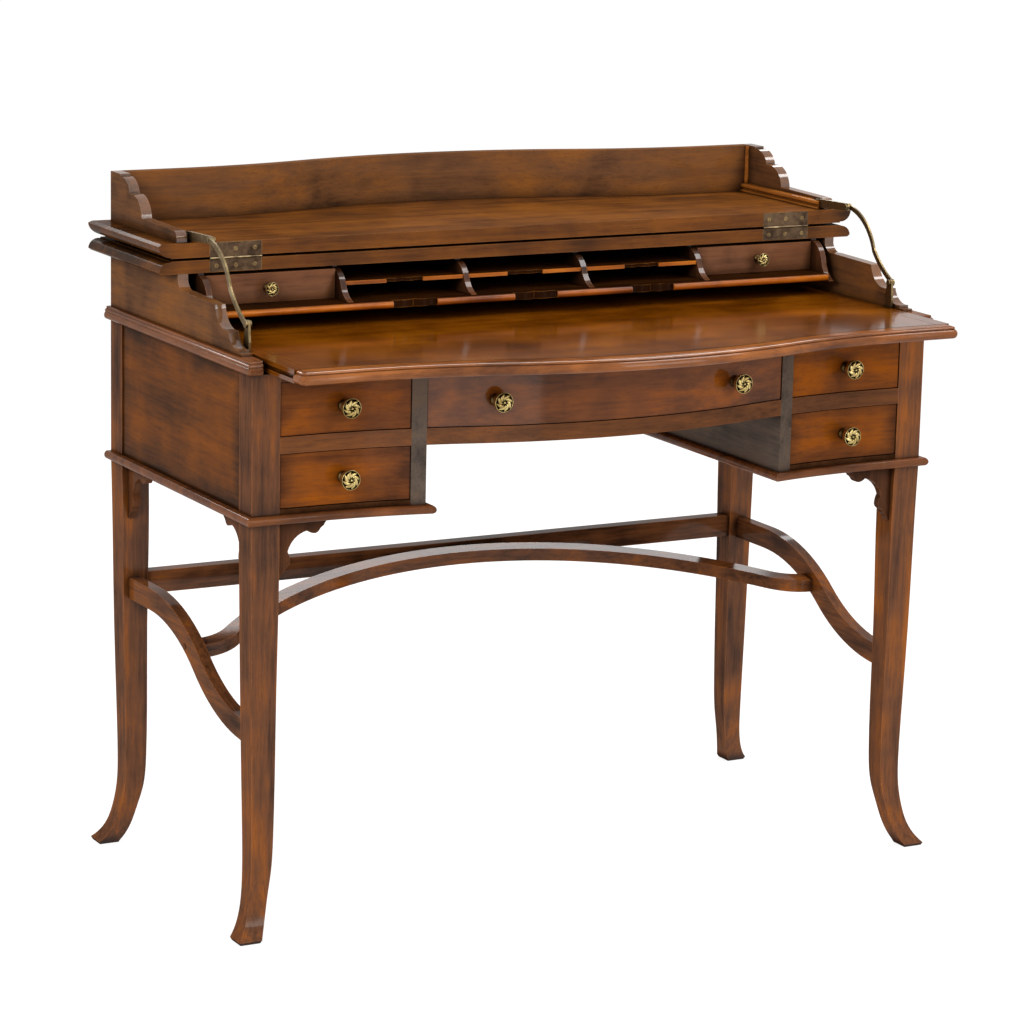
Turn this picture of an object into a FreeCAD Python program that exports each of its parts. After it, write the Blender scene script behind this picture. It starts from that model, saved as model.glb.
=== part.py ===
import FreeCAD, Part
import math
import os
from FreeCAD import Vector

# Bonheur du jour: a lady's writing desk with a serpentine front, a fold-over top
# and a writing slide that brass stays draw forward as the top folds back.
# Millimetres; +X is the sitter's right, -Y the front, +Z up, Z = 0 the floor.
# Sizes are given from the middle of the case and moved to the middle of the whole
# desk when the pieces are written. The top is drawn open, standing on the rear leaf.

# --- case ----------------------------------------------------------------------------------------
case_width = 1012.0
case_depth = 464.0
case_base = 546.4
post = 39.0
post_rise = 11.4
panel_thickness = 13.0
panel_inset = 2.0
back_thickness = 12.0
back_inset = 2.0
inner_side_x = 267.6
inner_side_thickness = 20.0
rail_depth = 27.0
base_board = 11.0
base_projection = 10.0
bottom_board = 7.1
lower_drawer_height = 71.0
mid_rail_height = 21.8
upper_drawer_height = 70.3
bearer_height = 13.9

# --- serpentine plan of the front ----------------------------------------------------------------
bow = 57.0
bow_turn = 210.0

# --- clearances ----------------------------------------------------------------------------------
running_gap = 0.3
drawer_gap = 1.0
scroll_gap = 2.0
pin_gap = 0.05

# --- legs: height, outward swing of the outer face, thickness ------------------------------------
leg_stations = [
    (450.0, -1.5, 38.0),
    (320.0, -2.9, 35.0),
    (200.0, -5.4, 32.4),
    (130.0, -6.6, 30.3),
    (85.0, -5.4, 28.2),
    (55.0, -1.3, 25.8),
    (28.0, 6.0, 26.2),
]
foot_swing = 22.0
foot_thickness = 31.5
foot_pad = 4.0
foot_chamfer = 2.0

# --- stretchers ----------------------------------------------------------------------------------
stretcher_inset = 26.0
stretcher_thickness = 16.0
stretcher_height = 29.5
stretcher_sunk = 22.0
stretcher_rear_z = 372.0
stretcher_front_z = 267.0
stretcher_straight = 113.0
back_stretcher_inset = 34.0
back_stretcher_thickness = 20.0
back_stretcher_bottom = 359.5
back_stretcher_height = 31.5
cross_inset = 64.7
cross_slope = 0.24
cross_height = 17.7
cross_width = 20.0
cross_radius = 620.0
cross_end_length = 65.0
peg_radius = 4.0
peg_inset = 18.4
peg_drop = 9.7

# --- fretted brackets ----------------------------------------------------------------------------
bracket_thickness = 11.0
bracket_setback = 8.5
bracket_reach = 74.0

# --- writing slide -------------------------------------------------------------------------------
slide_thickness = 17.0
slide_rear_gap = 4.0
slide_stand = 9.0
cleat_width = 21.5
cleat_groove = 0.8
nosing_depth = 20.0
nosing_projection = 6.0
nosing_overhang = 1.5
tongue_height = 5.0
tongue_rise = 5.7
tongue_setback = 48.0

# --- side mouldings and galleries ----------------------------------------------------------------
stay_slot = 4.0
gallery_thickness = 14.5
moulding_height = 18.0
moulding_projection = 10.0
moulding_nose = 10.5
tongue_reach = 8.0
fixed_gallery_height = 75.4
toe_height = 3.4
toe_length = 8.0
cove_length = 6.0
neck_drop = 8.4

# --- leaves and hinge line -----------------------------------------------------------------------
hinge_y = 3.0
leaf_gap = 3.4
leaf_face_gap = 0.25
rear_leaf_thickness = 17.1
flap_thickness = 19.6
leaf_overhang = 27.0
leaf_moulding = 17.5
leaf_rear_overhang = 14.0
plate_length = 74.0
plate_inset = 45.0
plate_thickness = 1.2
plate_margin = 0.8
knuckle_radius = 1.6
knuckle_play = 0.15
knuckles = 3
hinge_pin_radius = 0.8

# --- flap gallery --------------------------------------------------------------------------------
gallery_back_thickness = 14.0
upper_step_length = 34.0
upper_step = 4.0
first_lobe_length = 32.0
first_lobe_drop = 20.0
nib = 2.5
nib_length = 6.0
second_lobe_length = 36.0
rail_rise = 17.0
rail_fall = 2.0
rail_end_setback = 5.0
rail_round = 9.0
bead_width = 11.5
bead_height = 12.0
bead_setback = 7.0
corner_bead_size = 5.0

# --- stays ---------------------------------------------------------------------------------------
upper_pivot_reach = 61.8
upper_pivot_rise = 12.0
lower_pivot_inset = 59.2
lower_pivot_rise = 35.2
stay_side_gap = 0.5
stay_thickness = 2.5
stay_width = 7.0
stay_eye_radius = 5.0
stay_pin_radius = 2.0
stay_ease = 5.0
stay_rise = 12.0
stay_dip = 3.3
stay_bends = (84.0, 115.0)
bracket_plate = 3.0
bracket_plate_length = 31.0
strap_height = 9.0
strap_rise = 2.5
pin_head_radius = 4.0
pin_head = 2.5
foot_plate_rear = 10.0
foot_plate_front = 7.0
foot_plate_taper = 3.0
foot_plate_shoulder = 12.0
foot_plate_sunk = 12.0

# --- stationery unit -----------------------------------------------------------------------------
unit_side_gap = 14.5
unit_end_thickness = 8.0
unit_rise = 19.2
unit_floor = 10.5
unit_reach = 47.0
divider_thickness = 8.0
divider_reach = 39.0
outer_divider_x = 275.0
inner_divider_x = 91.0
shelf_rise = 24.1
shelf_thickness = 5.0
shelf_setback = 13.0
flap_clearance = 0.6
floor_notch = 66.0
shelf_notch = 55.0
notch_depth = 9.0

# --- drawers -------------------------------------------------------------------------------------
drawer_front = 18.0
drawer_setback = 1.5
drawer_wall = 8.0
drawer_floor = 5.0
drawer_floor_rise = 3.0
drawer_side_play = 1.5
drawer_side_drop = 9.0
drawer_rear_gap = 18.0
small_front = 12.0
small_wall = 5.0
small_floor = 4.0
small_side_drop = 6.0
small_rear_gap = 68.0
knob_radius = 13.0
knob_height = 28.0
small_knob_radius = 9.0
small_knob_height = 19.0
knob_stud_radius = 2.5
pedestal_knob_x = 379.0
centre_knob_x = 180.0
small_knob_x = 379.0

# --- worked-out values ---------------------------------------------------------------------------
half_width = case_width / 2
half_depth = case_depth / 2
post_inner_x = half_width - post
post_inner_y = half_depth - post
inner_side_outer_x = inner_side_x + inner_side_thickness
back_rear_y = half_depth - back_inset
back_face_y = back_rear_y - back_thickness
bow_radius = (bow_turn ** 2 + (bow / 2) ** 2) / bow

base_top = case_base + base_board
drawer_base = base_top + bottom_board
mid_rail_bottom = drawer_base + lower_drawer_height
mid_rail_top = mid_rail_bottom + mid_rail_height
top_rail_bottom = mid_rail_top + upper_drawer_height
post_top = top_rail_bottom + post_rise
bearer_top = top_rail_bottom + bearer_height
slide_bottom = bearer_top + running_gap
slide_top = slide_bottom + slide_thickness
gallery_foot = post_top + moulding_height
rear_leaf_bottom = gallery_foot + fixed_gallery_height
rear_leaf_top = rear_leaf_bottom + rear_leaf_thickness
hinge_z = rear_leaf_top + leaf_gap / 2
flap_bottom = hinge_z + leaf_gap / 2
flap_top = flap_bottom + flap_thickness
# The flap's gallery is as tall as folds down on to the toe of the fixed one.
overall_height = 2 * hinge_z - gallery_foot - toe_height - scroll_gap
closed_flap_bottom = 2 * hinge_z - flap_top

gallery_outer_x = half_width
gallery_inner_x = gallery_outer_x - gallery_thickness
slide_half_width = gallery_inner_x - stay_slot
leaf_half_width = half_width + leaf_overhang
leaf_front_y = hinge_y + leaf_face_gap
leaf_rear_y = half_depth + leaf_rear_overhang
gallery_rear_y = half_depth
gallery_back_y = gallery_rear_y - gallery_back_thickness
plate_outer_x = half_width - plate_inset
plate_inner_x = plate_outer_x - plate_length

unit_half_width = gallery_inner_x - unit_side_gap
unit_inner_x = unit_half_width - unit_end_thickness
unit_floor_bottom = slide_top + unit_rise
unit_floor_top = unit_floor_bottom + unit_floor
unit_front_y = hinge_y - unit_reach
unit_back_y = back_face_y
shelf_top = unit_floor_top + shelf_rise
shelf_front_y = hinge_y - shelf_setback

upper_pivot = (hinge_y - upper_pivot_reach, flap_top + upper_pivot_rise)
lower_pivot = (-half_depth + lower_pivot_inset, slide_top + lower_pivot_rise)
stay_x = slide_half_width + stay_side_gap
bracket_plate_x = slide_half_width - bracket_plate
bracket_plate_rear_y = hinge_y + bracket_plate_length
stay_span = math.hypot(lower_pivot[0] - upper_pivot[0], lower_pivot[1] - upper_pivot[1])
# The slide has run home when the stays reach from the folded upper pivot to its feet.
folded_pivot = (2 * hinge_y - upper_pivot[0], 2 * hinge_z - upper_pivot[1])
home_reach = math.sqrt(stay_span ** 2 - (folded_pivot[1] - lower_pivot[1]) ** 2)
slide_travel = folded_pivot[0] - home_reach - lower_pivot[0]
nosing_y = half_depth + slide_stand + slide_travel
slide_rear_y = back_face_y - slide_rear_gap - slide_travel

drawer_rear_y = back_face_y - drawer_rear_gap
small_rear_y = unit_back_y - small_rear_gap
small_front_y = hinge_y
far = 700.0
behind_depth = case_depth + 2 * bow

nodes = {}


# --- helpers -------------------------------------------------------------------------------------
def box(x0, x1, y0, y1, z0, z1):
    return Part.makeBox(x1 - x0, y1 - y0, z1 - z0, Vector(x0, y0, z0))


def mirrored(shape):
    """The same piece on the other side of the desk."""
    return shape.mirror(Vector(0, 0, 0), Vector(1, 0, 0))


def both_sides(shape):
    return [mirrored(shape), shape]


def add(name, shapes):
    nodes[name] = shapes if isinstance(shapes, list) else [shapes]


def line(a, b):
    return Part.LineSegment(a, b).toShape()


def quarter(start, corner, end):
    """A round stretch from start to end that would turn at corner."""
    centre = start + end - corner
    middle = centre + (start - centre + end - centre) * math.sqrt(0.5)
    return Part.Arc(start, middle, end).toShape()


def spline(points):
    curve = Part.BSplineCurve()
    curve.interpolate(points)
    return curve.toShape()


def polygon(points):
    return Part.Face(Part.makePolygon(points + [points[0]]))


def outline(steps, point):
    """A face inside a list of steps: a pair is a straight run, ('q', corner, end) a round
    stretch that would turn at corner, ('a', middle, end) an arc through middle."""
    edges = []
    here = point(*steps[0])
    first = here
    for step in steps[1:]:
        if step[0] == "q":
            end = point(*step[2])
            edges.append(quarter(here, point(*step[1]), end))
        elif step[0] == "a":
            end = point(*step[2])
            edges.append(Part.Arc(here, point(*step[1]), end).toShape())
        else:
            end = point(*step)
            edges.append(line(here, end))
        here = end
    if here.distanceToPoint(first) > 1e-6:
        edges.append(line(here, first))
    return Part.Face(Part.Wire(edges))


def side_profile(steps, x0, x1):
    """A piece sawn to a side outline, steps in (y, z), as thick as x0 to x1."""
    return outline(steps, lambda y, z: Vector(x0, y, z)).extrude(Vector(x1 - x0, 0, 0))


def front_profile(steps, y0, y1):
    """A length of moulding or board with its section in (x, z), from y0 to y1."""
    return outline(steps, lambda x, z: Vector(x, y0, z)).extrude(Vector(0, y1 - y0, 0))


def serpentine_edges(y_ends, z, side):
    """The serpentine plan line; side is -1 for a front that bows forward, 1 for a rear."""
    run_out = 2 * bow_turn
    half_turn = math.asin(bow_turn / bow_radius) / 2
    easing = bow_radius * (1 - math.cos(half_turn))
    reach = bow_radius * math.sin(half_turn)
    edges = [line(Vector(-far, y_ends, z), Vector(-run_out, y_ends, z))]
    for sign in (-1, 1):
        outer = Vector(sign * run_out, y_ends, z)
        middle = Vector(sign * (run_out - reach), y_ends + side * easing, z)
        inner = Vector(sign * bow_turn, y_ends + side * bow / 2, z)
        order = (outer, middle, inner) if sign < 0 else (inner, middle, outer)
        edges.append(Part.Arc(*order).toShape())
    crown = Vector(0, y_ends + side * bow, z)
    left = Vector(-bow_turn, y_ends + side * bow / 2, z)
    right = Vector(bow_turn, y_ends + side * bow / 2, z)
    edges.insert(2, Part.Arc(left, crown, right).toShape())
    edges.append(line(Vector(run_out, y_ends, z), Vector(far, y_ends, z)))
    return edges


def serpentine_block(y_ends, y_flat, z0, z1, side=-1):
    """All that lies between the serpentine line and a straight one."""
    edges = serpentine_edges(y_ends, z0, side)
    corners = [Vector(far, y_flat, z0), Vector(-far, y_flat, z0)]
    edges.append(line(Vector(far, y_ends, z0), corners[0]))
    edges.append(line(corners[0], corners[1]))
    edges.append(line(corners[1], Vector(-far, y_ends, z0)))
    return Part.Face(Part.Wire(edges)).extrude(Vector(0, 0, z1 - z0))


def serpentine_moulding(steps, y_ends, side=-1):
    """A section in (outward, z) carried along the serpentine line."""
    run_out = 2 * bow_turn
    turn = -side * math.degrees(math.asin(bow_turn / bow_radius))

    def section(x, y):
        return outline(steps, lambda out, z: Vector(x, y + side * out, z))

    straight = section(run_out, y_ends).extrude(Vector(far - run_out, 0, 0))
    hollow = section(run_out, y_ends).revolve(
        Vector(run_out, y_ends + side * bow_radius, 0), Vector(0, 0, 1), turn)
    swell = section(0, y_ends + side * bow).revolve(
        Vector(0, y_ends + side * (bow - bow_radius), 0), Vector(0, 0, 1), turn)
    half = straight.fuse([hollow, swell])
    return half.fuse(mirrored(half)).removeSplitter()


def cylinder_x(radius, x0, x1, y, z):
    return Part.makeCylinder(radius, x1 - x0, Vector(x0, y, z), Vector(1, 0, 0))


def closed(y, z):
    """Where a point of the open flap lies when the top is folded forward."""
    return 2 * hinge_y - y, 2 * hinge_z - z


# --- legs ----------------------------------------------------------------------------------------
def leg_outline(point):
    """Side view of a sabre leg; out is measured from the outer face of the case."""
    outer = [point(0, case_base)]
    inner = [point(-post, case_base)]
    for height, swing, thickness in leg_stations:
        outer.append(point(swing, height))
        inner.append(point(swing - thickness, height))
    outer.append(point(foot_swing, foot_pad))
    inner.append(point(foot_swing - foot_thickness, foot_pad))
    toe = point(foot_swing - foot_chamfer, 0)
    heel = point(foot_swing - foot_thickness + foot_chamfer, 0)
    edges = [
        line(point(-post, post_top), point(0, post_top)),
        line(point(0, post_top), outer[0]),
        spline(outer),
        line(outer[-1], toe),
        line(toe, heel),
        line(heel, inner[-1]),
        spline(inner),
        line(inner[0], point(-post, post_top)),
    ]
    return Part.Face(Part.Wire(Part.sortEdges(edges)[0]))


def make_leg():
    """The rear right leg, sawn to the same outline from two faces."""
    reach = 120.0
    along_y = leg_outline(lambda out, z: Vector(half_width + out, half_depth + reach / 2, z))
    along_x = leg_outline(lambda out, z: Vector(half_width + reach / 2, half_depth + out, z))
    return along_y.extrude(Vector(0, -2 * reach, 0)).common(along_x.extrude(Vector(-2 * reach, 0, 0)))


leg = make_leg()
front_leg = leg.mirror(Vector(0, 0, 0), Vector(0, 1, 0))
# The top of each front post is eased where the foot of the stay swings past it.
front_leg = front_leg.cut(box(slide_half_width, gallery_inner_x, -post_inner_y - stay_ease, -post_inner_y,
                              post_top - 2 * stay_ease, post_top))
add("leg_rear_right", leg)
add("leg_rear_left", mirrored(leg))
add("leg_front_right", front_leg)
add("leg_front_left", mirrored(front_leg))


# --- case panels ---------------------------------------------------------------------------------
panel_outer_x = half_width - panel_inset
side_panel = box(panel_outer_x - panel_thickness, panel_outer_x, -post_inner_y, post_inner_y,
                 base_top, post_top)
add("side_panels", both_sides(side_panel))

pedestal_back = box(inner_side_outer_x, post_inner_x, back_face_y, back_rear_y, base_top, bearer_top)
centre_back = box(-inner_side_outer_x, inner_side_outer_x, back_face_y, back_rear_y,
                  mid_rail_bottom, bearer_top)
add("back_panels", both_sides(pedestal_back) + [centre_back])

case_front = serpentine_block(-half_depth, back_face_y, base_top, bearer_top)
inner_side = case_front.common(
    box(inner_side_x, inner_side_outer_x, -far, back_face_y, base_top, top_rail_bottom))
add("inner_sides", both_sides(inner_side))

nose_fall = 3.5
base_middle = (case_base + base_top) / 2
base_inner_x = inner_side_x - base_projection
base_outer_x = half_width + base_projection
base_section = [
    (base_inner_x + nose_fall, case_base),
    (base_outer_x - nose_fall, case_base),
    ("a", (base_outer_x, base_middle), (base_outer_x - nose_fall, base_top)),
    (base_inner_x + nose_fall, base_top),
    ("a", (base_inner_x, base_middle), (base_inner_x + nose_fall, case_base)),
]
base_front = [
    (-behind_depth, case_base),
    (base_projection - nose_fall, case_base),
    ("a", (base_projection, base_middle), (base_projection - nose_fall, base_top)),
    (-behind_depth, base_top),
]
post_holes = [
    box(post_inner_x, half_width, side * half_depth - (post if side > 0 else 0),
        side * half_depth + (0 if side > 0 else post), case_base, base_top)
    for side in (-1, 1)
]
base = front_profile(base_section, -far, half_depth)
base = base.common(serpentine_moulding(base_front, -half_depth))
for hole in post_holes:
    base = base.cut(hole)
add("pedestal_bases", both_sides(base))

pedestal_bottom = serpentine_block(-half_depth, back_face_y, base_top, drawer_base).common(
    box(inner_side_outer_x, panel_outer_x - panel_thickness, -far, back_face_y, base_top, drawer_base))
pedestal_bottom = pedestal_bottom.cut(
    box(post_inner_x, half_width, -half_depth, -post_inner_y, base_top, drawer_base))
pedestal_bottom = pedestal_bottom.cut(
    box(post_inner_x, half_width, post_inner_y, half_depth, base_top, drawer_base))
add("pedestal_bottoms", both_sides(pedestal_bottom))


# --- rails, bearers and runners ------------------------------------------------------------------
def front_rail(x0, x1, z0, z1):
    band = serpentine_block(-half_depth, 0, z0, z1).cut(
        serpentine_block(-half_depth + rail_depth, 0, z0, z1))
    return band.common(box(x0, x1, -far, 0, z0, z1))


pedestal_rail = front_rail(inner_side_outer_x, post_inner_x, mid_rail_bottom, mid_rail_top)
centre_rail = front_rail(-inner_side_x, inner_side_x, mid_rail_bottom, mid_rail_top)
top_rail = front_rail(-post_inner_x, post_inner_x, top_rail_bottom, bearer_top)
add("front_rails", both_sides(pedestal_rail) + [centre_rail, top_rail])

bearer_width = 20.0
bearer_front = serpentine_block(-half_depth + rail_depth, back_face_y, top_rail_bottom, bearer_top)
side_bearer = box(post_inner_x, post_inner_x + bearer_width, -post_inner_y, post_inner_y,
                  top_rail_bottom, bearer_top)
inner_bearer = bearer_front.common(
    box(inner_side_x, inner_side_outer_x, -far, back_face_y, top_rail_bottom, bearer_top))
add("slide_bearers", both_sides(side_bearer) + both_sides(inner_bearer))

runner_height = 12.0
runner_width = 12.0
runner_zone = serpentine_block(-half_depth + rail_depth, back_face_y,
                               mid_rail_top - runner_height, mid_rail_top)


def runner(x0, x1):
    return runner_zone.common(
        box(x0, x1, -far, back_face_y, mid_rail_top - runner_height, mid_rail_top))


runners = [
    runner(inner_side_x - runner_width, inner_side_x),
    runner(inner_side_outer_x, inner_side_outer_x + runner_width),
    runner(post_inner_x - runner_width, post_inner_x),
]
add("drawer_runners", [side for piece in runners for side in both_sides(piece)])


# --- fretted brackets ----------------------------------------------------------------------------
def bracket_outline(point):
    """Cupid's-bow fret; a runs away from the leg, b down from the case."""
    drawn_reach = 74.0
    size = bracket_reach / drawn_reach
    sunk = -4.0
    steps = [
        (sunk, 0),
        (drawn_reach, 0),
        ("q", (68, 4), (66, 9.5)),
        ("q", (62, 11), (60, 15)),
        ("q", (59, 18.7), (52.6, 18.7)),
        ("q", (47, 18.7), (43, 14.4)),
        ("q", (20, 18), (15.6, 40)),
        ("q", (19.5, 46), (19.3, 53)),
        ("q", (19.3, 58), (14.5, 60)),
        ("q", (11.5, 62), (9.5, 66.5)),
        ("q", (5, 69), (3.5, 76.4)),
        (sunk, 76.4),
    ]
    return outline(steps, lambda a, b: point(a * size, b * size))


bracket_top = case_base
along_front = bracket_outline(
    lambda a, b: Vector(post_inner_x - a, -half_depth + bracket_setback, bracket_top - b))
front_bracket = along_front.extrude(Vector(0, bracket_thickness, 0)).cut(front_leg)
along_side = bracket_outline(
    lambda a, b: Vector(half_width - bracket_setback, -post_inner_y + a, bracket_top - b))
side_bracket = along_side.extrude(Vector(-bracket_thickness, 0, 0)).cut(front_leg)
rear_bracket = side_bracket.mirror(Vector(0, 0, 0), Vector(0, 1, 0))
add("corner_brackets", both_sides(front_bracket) + both_sides(side_bracket) + both_sides(rear_bracket))


# --- stretchers ----------------------------------------------------------------------------------
stretcher_x = half_width - stretcher_inset
stretcher_straight_y = half_depth - stretcher_straight
stretcher_run = stretcher_straight_y + post_inner_y
stretcher_fall = stretcher_rear_z - stretcher_front_z
stretcher_radius = ((stretcher_run / 2) ** 2 + (stretcher_fall / 2) ** 2) / stretcher_fall


def stretcher_height_at(y):
    """Height of the middle line of a side stretcher's two arcs."""
    ahead = stretcher_straight_y - y
    if ahead < stretcher_run / 2:
        return stretcher_rear_z - stretcher_radius + math.sqrt(stretcher_radius ** 2 - ahead ** 2)
    behind = stretcher_run - ahead
    return stretcher_front_z + stretcher_radius - math.sqrt(stretcher_radius ** 2 - behind ** 2)


def make_side_stretcher():
    """A band that dips from the rear leg to the front one in two tangent arcs."""
    half_run = stretcher_run / 2
    angle = math.asin(half_run / stretcher_radius)
    rear = Vector(stretcher_x, stretcher_straight_y, stretcher_rear_z)
    waist = Vector(stretcher_x, stretcher_straight_y - half_run, stretcher_rear_z - stretcher_fall / 2)
    front = Vector(stretcher_x, -post_inner_y, stretcher_front_z)
    reach = stretcher_radius * math.sin(angle / 2)
    fall = stretcher_radius * (1 - math.cos(angle / 2))
    path = Part.Wire([
        line(Vector(stretcher_x, post_inner_y + stretcher_sunk, stretcher_rear_z), rear),
        Part.Arc(rear, rear + Vector(0, -reach, -fall), waist).toShape(),
        Part.Arc(waist, front + Vector(0, reach, fall), front).toShape(),
        line(front, front - Vector(0, stretcher_sunk, 0)),
    ])
    start = post_inner_y + stretcher_sunk
    low = stretcher_rear_z - stretcher_height / 2
    high = stretcher_rear_z + stretcher_height / 2
    section = Part.makePolygon([
        Vector(stretcher_x, start, low), Vector(stretcher_x + stretcher_thickness, start, low),
        Vector(stretcher_x + stretcher_thickness, start, high), Vector(stretcher_x, start, high),
        Vector(stretcher_x, start, low)])
    return path.makePipeShell([section], True, False)


# The cross stretcher is pegged through the side ones, so it follows their height there.
cross_y = half_depth - cross_inset
cross_end_angle = math.asin((stretcher_x - cross_end_length) / cross_radius)
cross_end_radius = cross_end_length / math.sin(cross_end_angle)
cross_end_y = cross_y - (cross_radius + cross_end_radius) * (1 - math.cos(cross_end_angle))
peg_y = cross_end_y + peg_inset
peg_z = stretcher_height_at(peg_y) - peg_drop
cross_z = peg_z - cross_height / 2 - cross_slope * (peg_y - cross_y)


def make_cross_stretcher():
    """A bow that runs back behind the sitter's knees, rising towards the rear."""
    end_angle = cross_end_angle
    end_x = stretcher_x
    end_radius = cross_end_radius
    end_y = cross_end_y
    half = end_angle / 2
    low = cross_z - 200.0
    high = cross_z + 200.0
    edges = []
    for shift in (0, cross_width):
        # The rear line is concentric with the front one.
        outer = cross_radius + shift
        tip = end_radius - shift
        centre_y = cross_y - cross_radius
        turn = Vector(outer * math.sin(end_angle), centre_y + outer * math.cos(end_angle), low)
        mirror_turn = Vector(-turn.x, turn.y, low)
        crown = Vector(0, centre_y + outer, low)
        end = Vector(end_x, end_y + shift, low)
        tip_centre = Vector(end_x, end_y + end_radius, low)
        middle = tip_centre + Vector(-tip * math.sin(half), -tip * math.cos(half), 0)
        mirror_middle = Vector(-middle.x, middle.y, low)
        mirror_end = Vector(-end.x, end.y, low)
        edges.append(Part.Arc(mirror_turn, crown, turn).toShape())
        edges.append(Part.Arc(turn, middle, end).toShape())
        edges.append(Part.Arc(mirror_end, mirror_middle, mirror_turn).toShape())
    for sign in (-1, 1):
        edges.append(line(Vector(sign * end_x, end_y, low), Vector(sign * end_x, end_y + cross_width, low)))
    plan = Part.Face(Part.Wire(Part.sortEdges(edges)[0])).extrude(Vector(0, 0, high - low))
    front = -half_depth
    rear = half_depth
    slab = polygon([
        Vector(-far, front, cross_z + cross_slope * (front - cross_y)),
        Vector(-far, rear, cross_z + cross_slope * (rear - cross_y)),
        Vector(-far, rear, cross_z + cross_slope * (rear - cross_y) + cross_height),
        Vector(-far, front, cross_z + cross_slope * (front - cross_y) + cross_height),
    ]).extrude(Vector(2 * far, 0, 0))
    return plan.common(slab)


peg_reach = 14.0
peg_head = 1.0
stretcher_outer_x = stretcher_x + stretcher_thickness
peg = cylinder_x(peg_radius, stretcher_x - peg_reach, stretcher_outer_x + peg_head, peg_y, peg_z)
side_stretcher = make_side_stretcher().cut(leg).cut(front_leg).cut(peg)
cross_stretcher = make_cross_stretcher().cut(peg).cut(mirrored(peg))
add("side_stretchers", both_sides(side_stretcher))
add("cross_stretcher", cross_stretcher)
add("stretcher_pegs", both_sides(peg))

back_stretcher_y = half_depth - back_stretcher_inset
back_stretcher = box(-post_inner_x - stretcher_sunk, post_inner_x + stretcher_sunk, back_stretcher_y,
                     back_stretcher_y + back_stretcher_thickness,
                     back_stretcher_bottom, back_stretcher_bottom + back_stretcher_height)
add("back_stretcher", back_stretcher.cut(leg).cut(mirrored(leg)))


# --- side mouldings, with the tongues that carry the slide ---------------------------------------
def nosed_steps(back):
    """Half-round nose with a cove above it; the first value of each pair is outward."""
    low = post_top
    nose_top = low + moulding_nose
    mid = low + moulding_nose / 2
    tip = moulding_projection
    return [
        (back, low),
        (tip - moulding_nose / 2, low),
        ("q", (tip, low), (tip, mid)),
        ("q", (tip, nose_top), (tip - moulding_nose / 2, nose_top)),
        ("q", (1, nose_top), (1, gallery_foot)),
        (back, gallery_foot),
    ]


moulding_back = gallery_inner_x - half_width
side_run = outline(nosed_steps(moulding_back), lambda out, z: Vector(half_width + out, -far, z))
side_run = side_run.extrude(Vector(0, far + half_depth, 0))
front_run = outline(nosed_steps(-2 * half_depth), lambda out, z: Vector(-far, -half_depth - out, z))
front_run = front_run.extrude(Vector(2 * far, 0, 0))
tongue_z = slide_bottom + tongue_rise
tongue = box(gallery_inner_x - tongue_reach, gallery_inner_x, hinge_y - tongue_setback, back_face_y,
             tongue_z, tongue_z + tongue_height)
add("top_mouldings", both_sides(side_run.common(front_run).fuse(tongue)))


# --- scrolled galleries: the fixed and the folding one share one line ----------------------------
upper_step_y = gallery_rear_y - upper_step_length
first_lobe_y = upper_step_y - first_lobe_length
second_lobe_y = first_lobe_y - nib_length
rail_start_y = second_lobe_y - second_lobe_length
first_lobe_z = overall_height - first_lobe_drop
nib_z = first_lobe_z - nib
rail_start_z = flap_top + rail_rise
rail_end_z = rail_start_z - rail_fall
rail_end_y = hinge_y + rail_end_setback


def scroll_steps(gap):
    """Front edge of the flap gallery from its top down to its rail, in (y, z)."""
    return [
        (upper_step_y - gap, overall_height + gap),
        (upper_step_y - gap, overall_height - upper_step + gap),
        ("q", (first_lobe_y - gap, overall_height - upper_step + gap),
         (first_lobe_y - gap, first_lobe_z + gap)),
        (first_lobe_y - gap, nib_z + gap),
        (second_lobe_y, nib_z + gap),
        ("q", (rail_start_y - gap, nib_z + gap), (rail_start_y - gap, rail_start_z + gap)),
    ]


def folded(steps):
    result = []
    for step in steps:
        if step[0] == "q":
            result.append(("q", closed(*step[1]), closed(*step[2])))
        else:
            result.append(closed(*step))
    return result


flap_scroll = [(gallery_rear_y, flap_top), (gallery_rear_y, overall_height)] + scroll_steps(0) + [
    (rail_end_y + rail_round, rail_end_z),
    ("q", (rail_end_y, rail_end_z), (rail_end_y, rail_end_z - rail_round)),
    (rail_end_y, flap_top),
]
flap_gallery = side_profile(flap_scroll, gallery_inner_x, gallery_outer_x)
add("flap_gallery_right", flap_gallery)
add("flap_gallery_left", mirrored(flap_gallery))

toe_y = closed(upper_step_y, 0)[0] - toe_length
toe_z = closed(0, overall_height + scroll_gap)[1]
cove_y = closed(rail_end_y + rail_round + cove_length, 0)[0]
cove_z = closed(0, rail_end_z + scroll_gap)[1]
neck_y = leaf_front_y + running_gap
neck_z = rear_leaf_bottom - neck_drop
fixed_scroll = [(half_depth, gallery_foot), (toe_y, gallery_foot), (toe_y, toe_z)]
fixed_scroll += folded(scroll_steps(scroll_gap)) + [
    (cove_y, cove_z),
    ("q", (neck_y, cove_z), (neck_y, neck_z)),
    (neck_y, rear_leaf_bottom),
    (half_depth, rear_leaf_bottom),
]
fixed_gallery = side_profile(fixed_scroll, gallery_inner_x, gallery_outer_x)
add("lower_gallery_right", fixed_gallery)
add("lower_gallery_left", mirrored(fixed_gallery))

upper_back = box(-gallery_inner_x, gallery_inner_x, back_face_y, back_rear_y, bearer_top, rear_leaf_bottom)
add("upper_back", upper_back)

flap_back = serpentine_block(gallery_rear_y, 0, flap_top, overall_height, 1).cut(
    serpentine_block(gallery_back_y, 0, flap_top, overall_height, 1))
flap_back = flap_back.common(
    box(-gallery_inner_x, gallery_inner_x, 0, far, flap_top, overall_height))
add("flap_gallery_back", flap_back)


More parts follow.
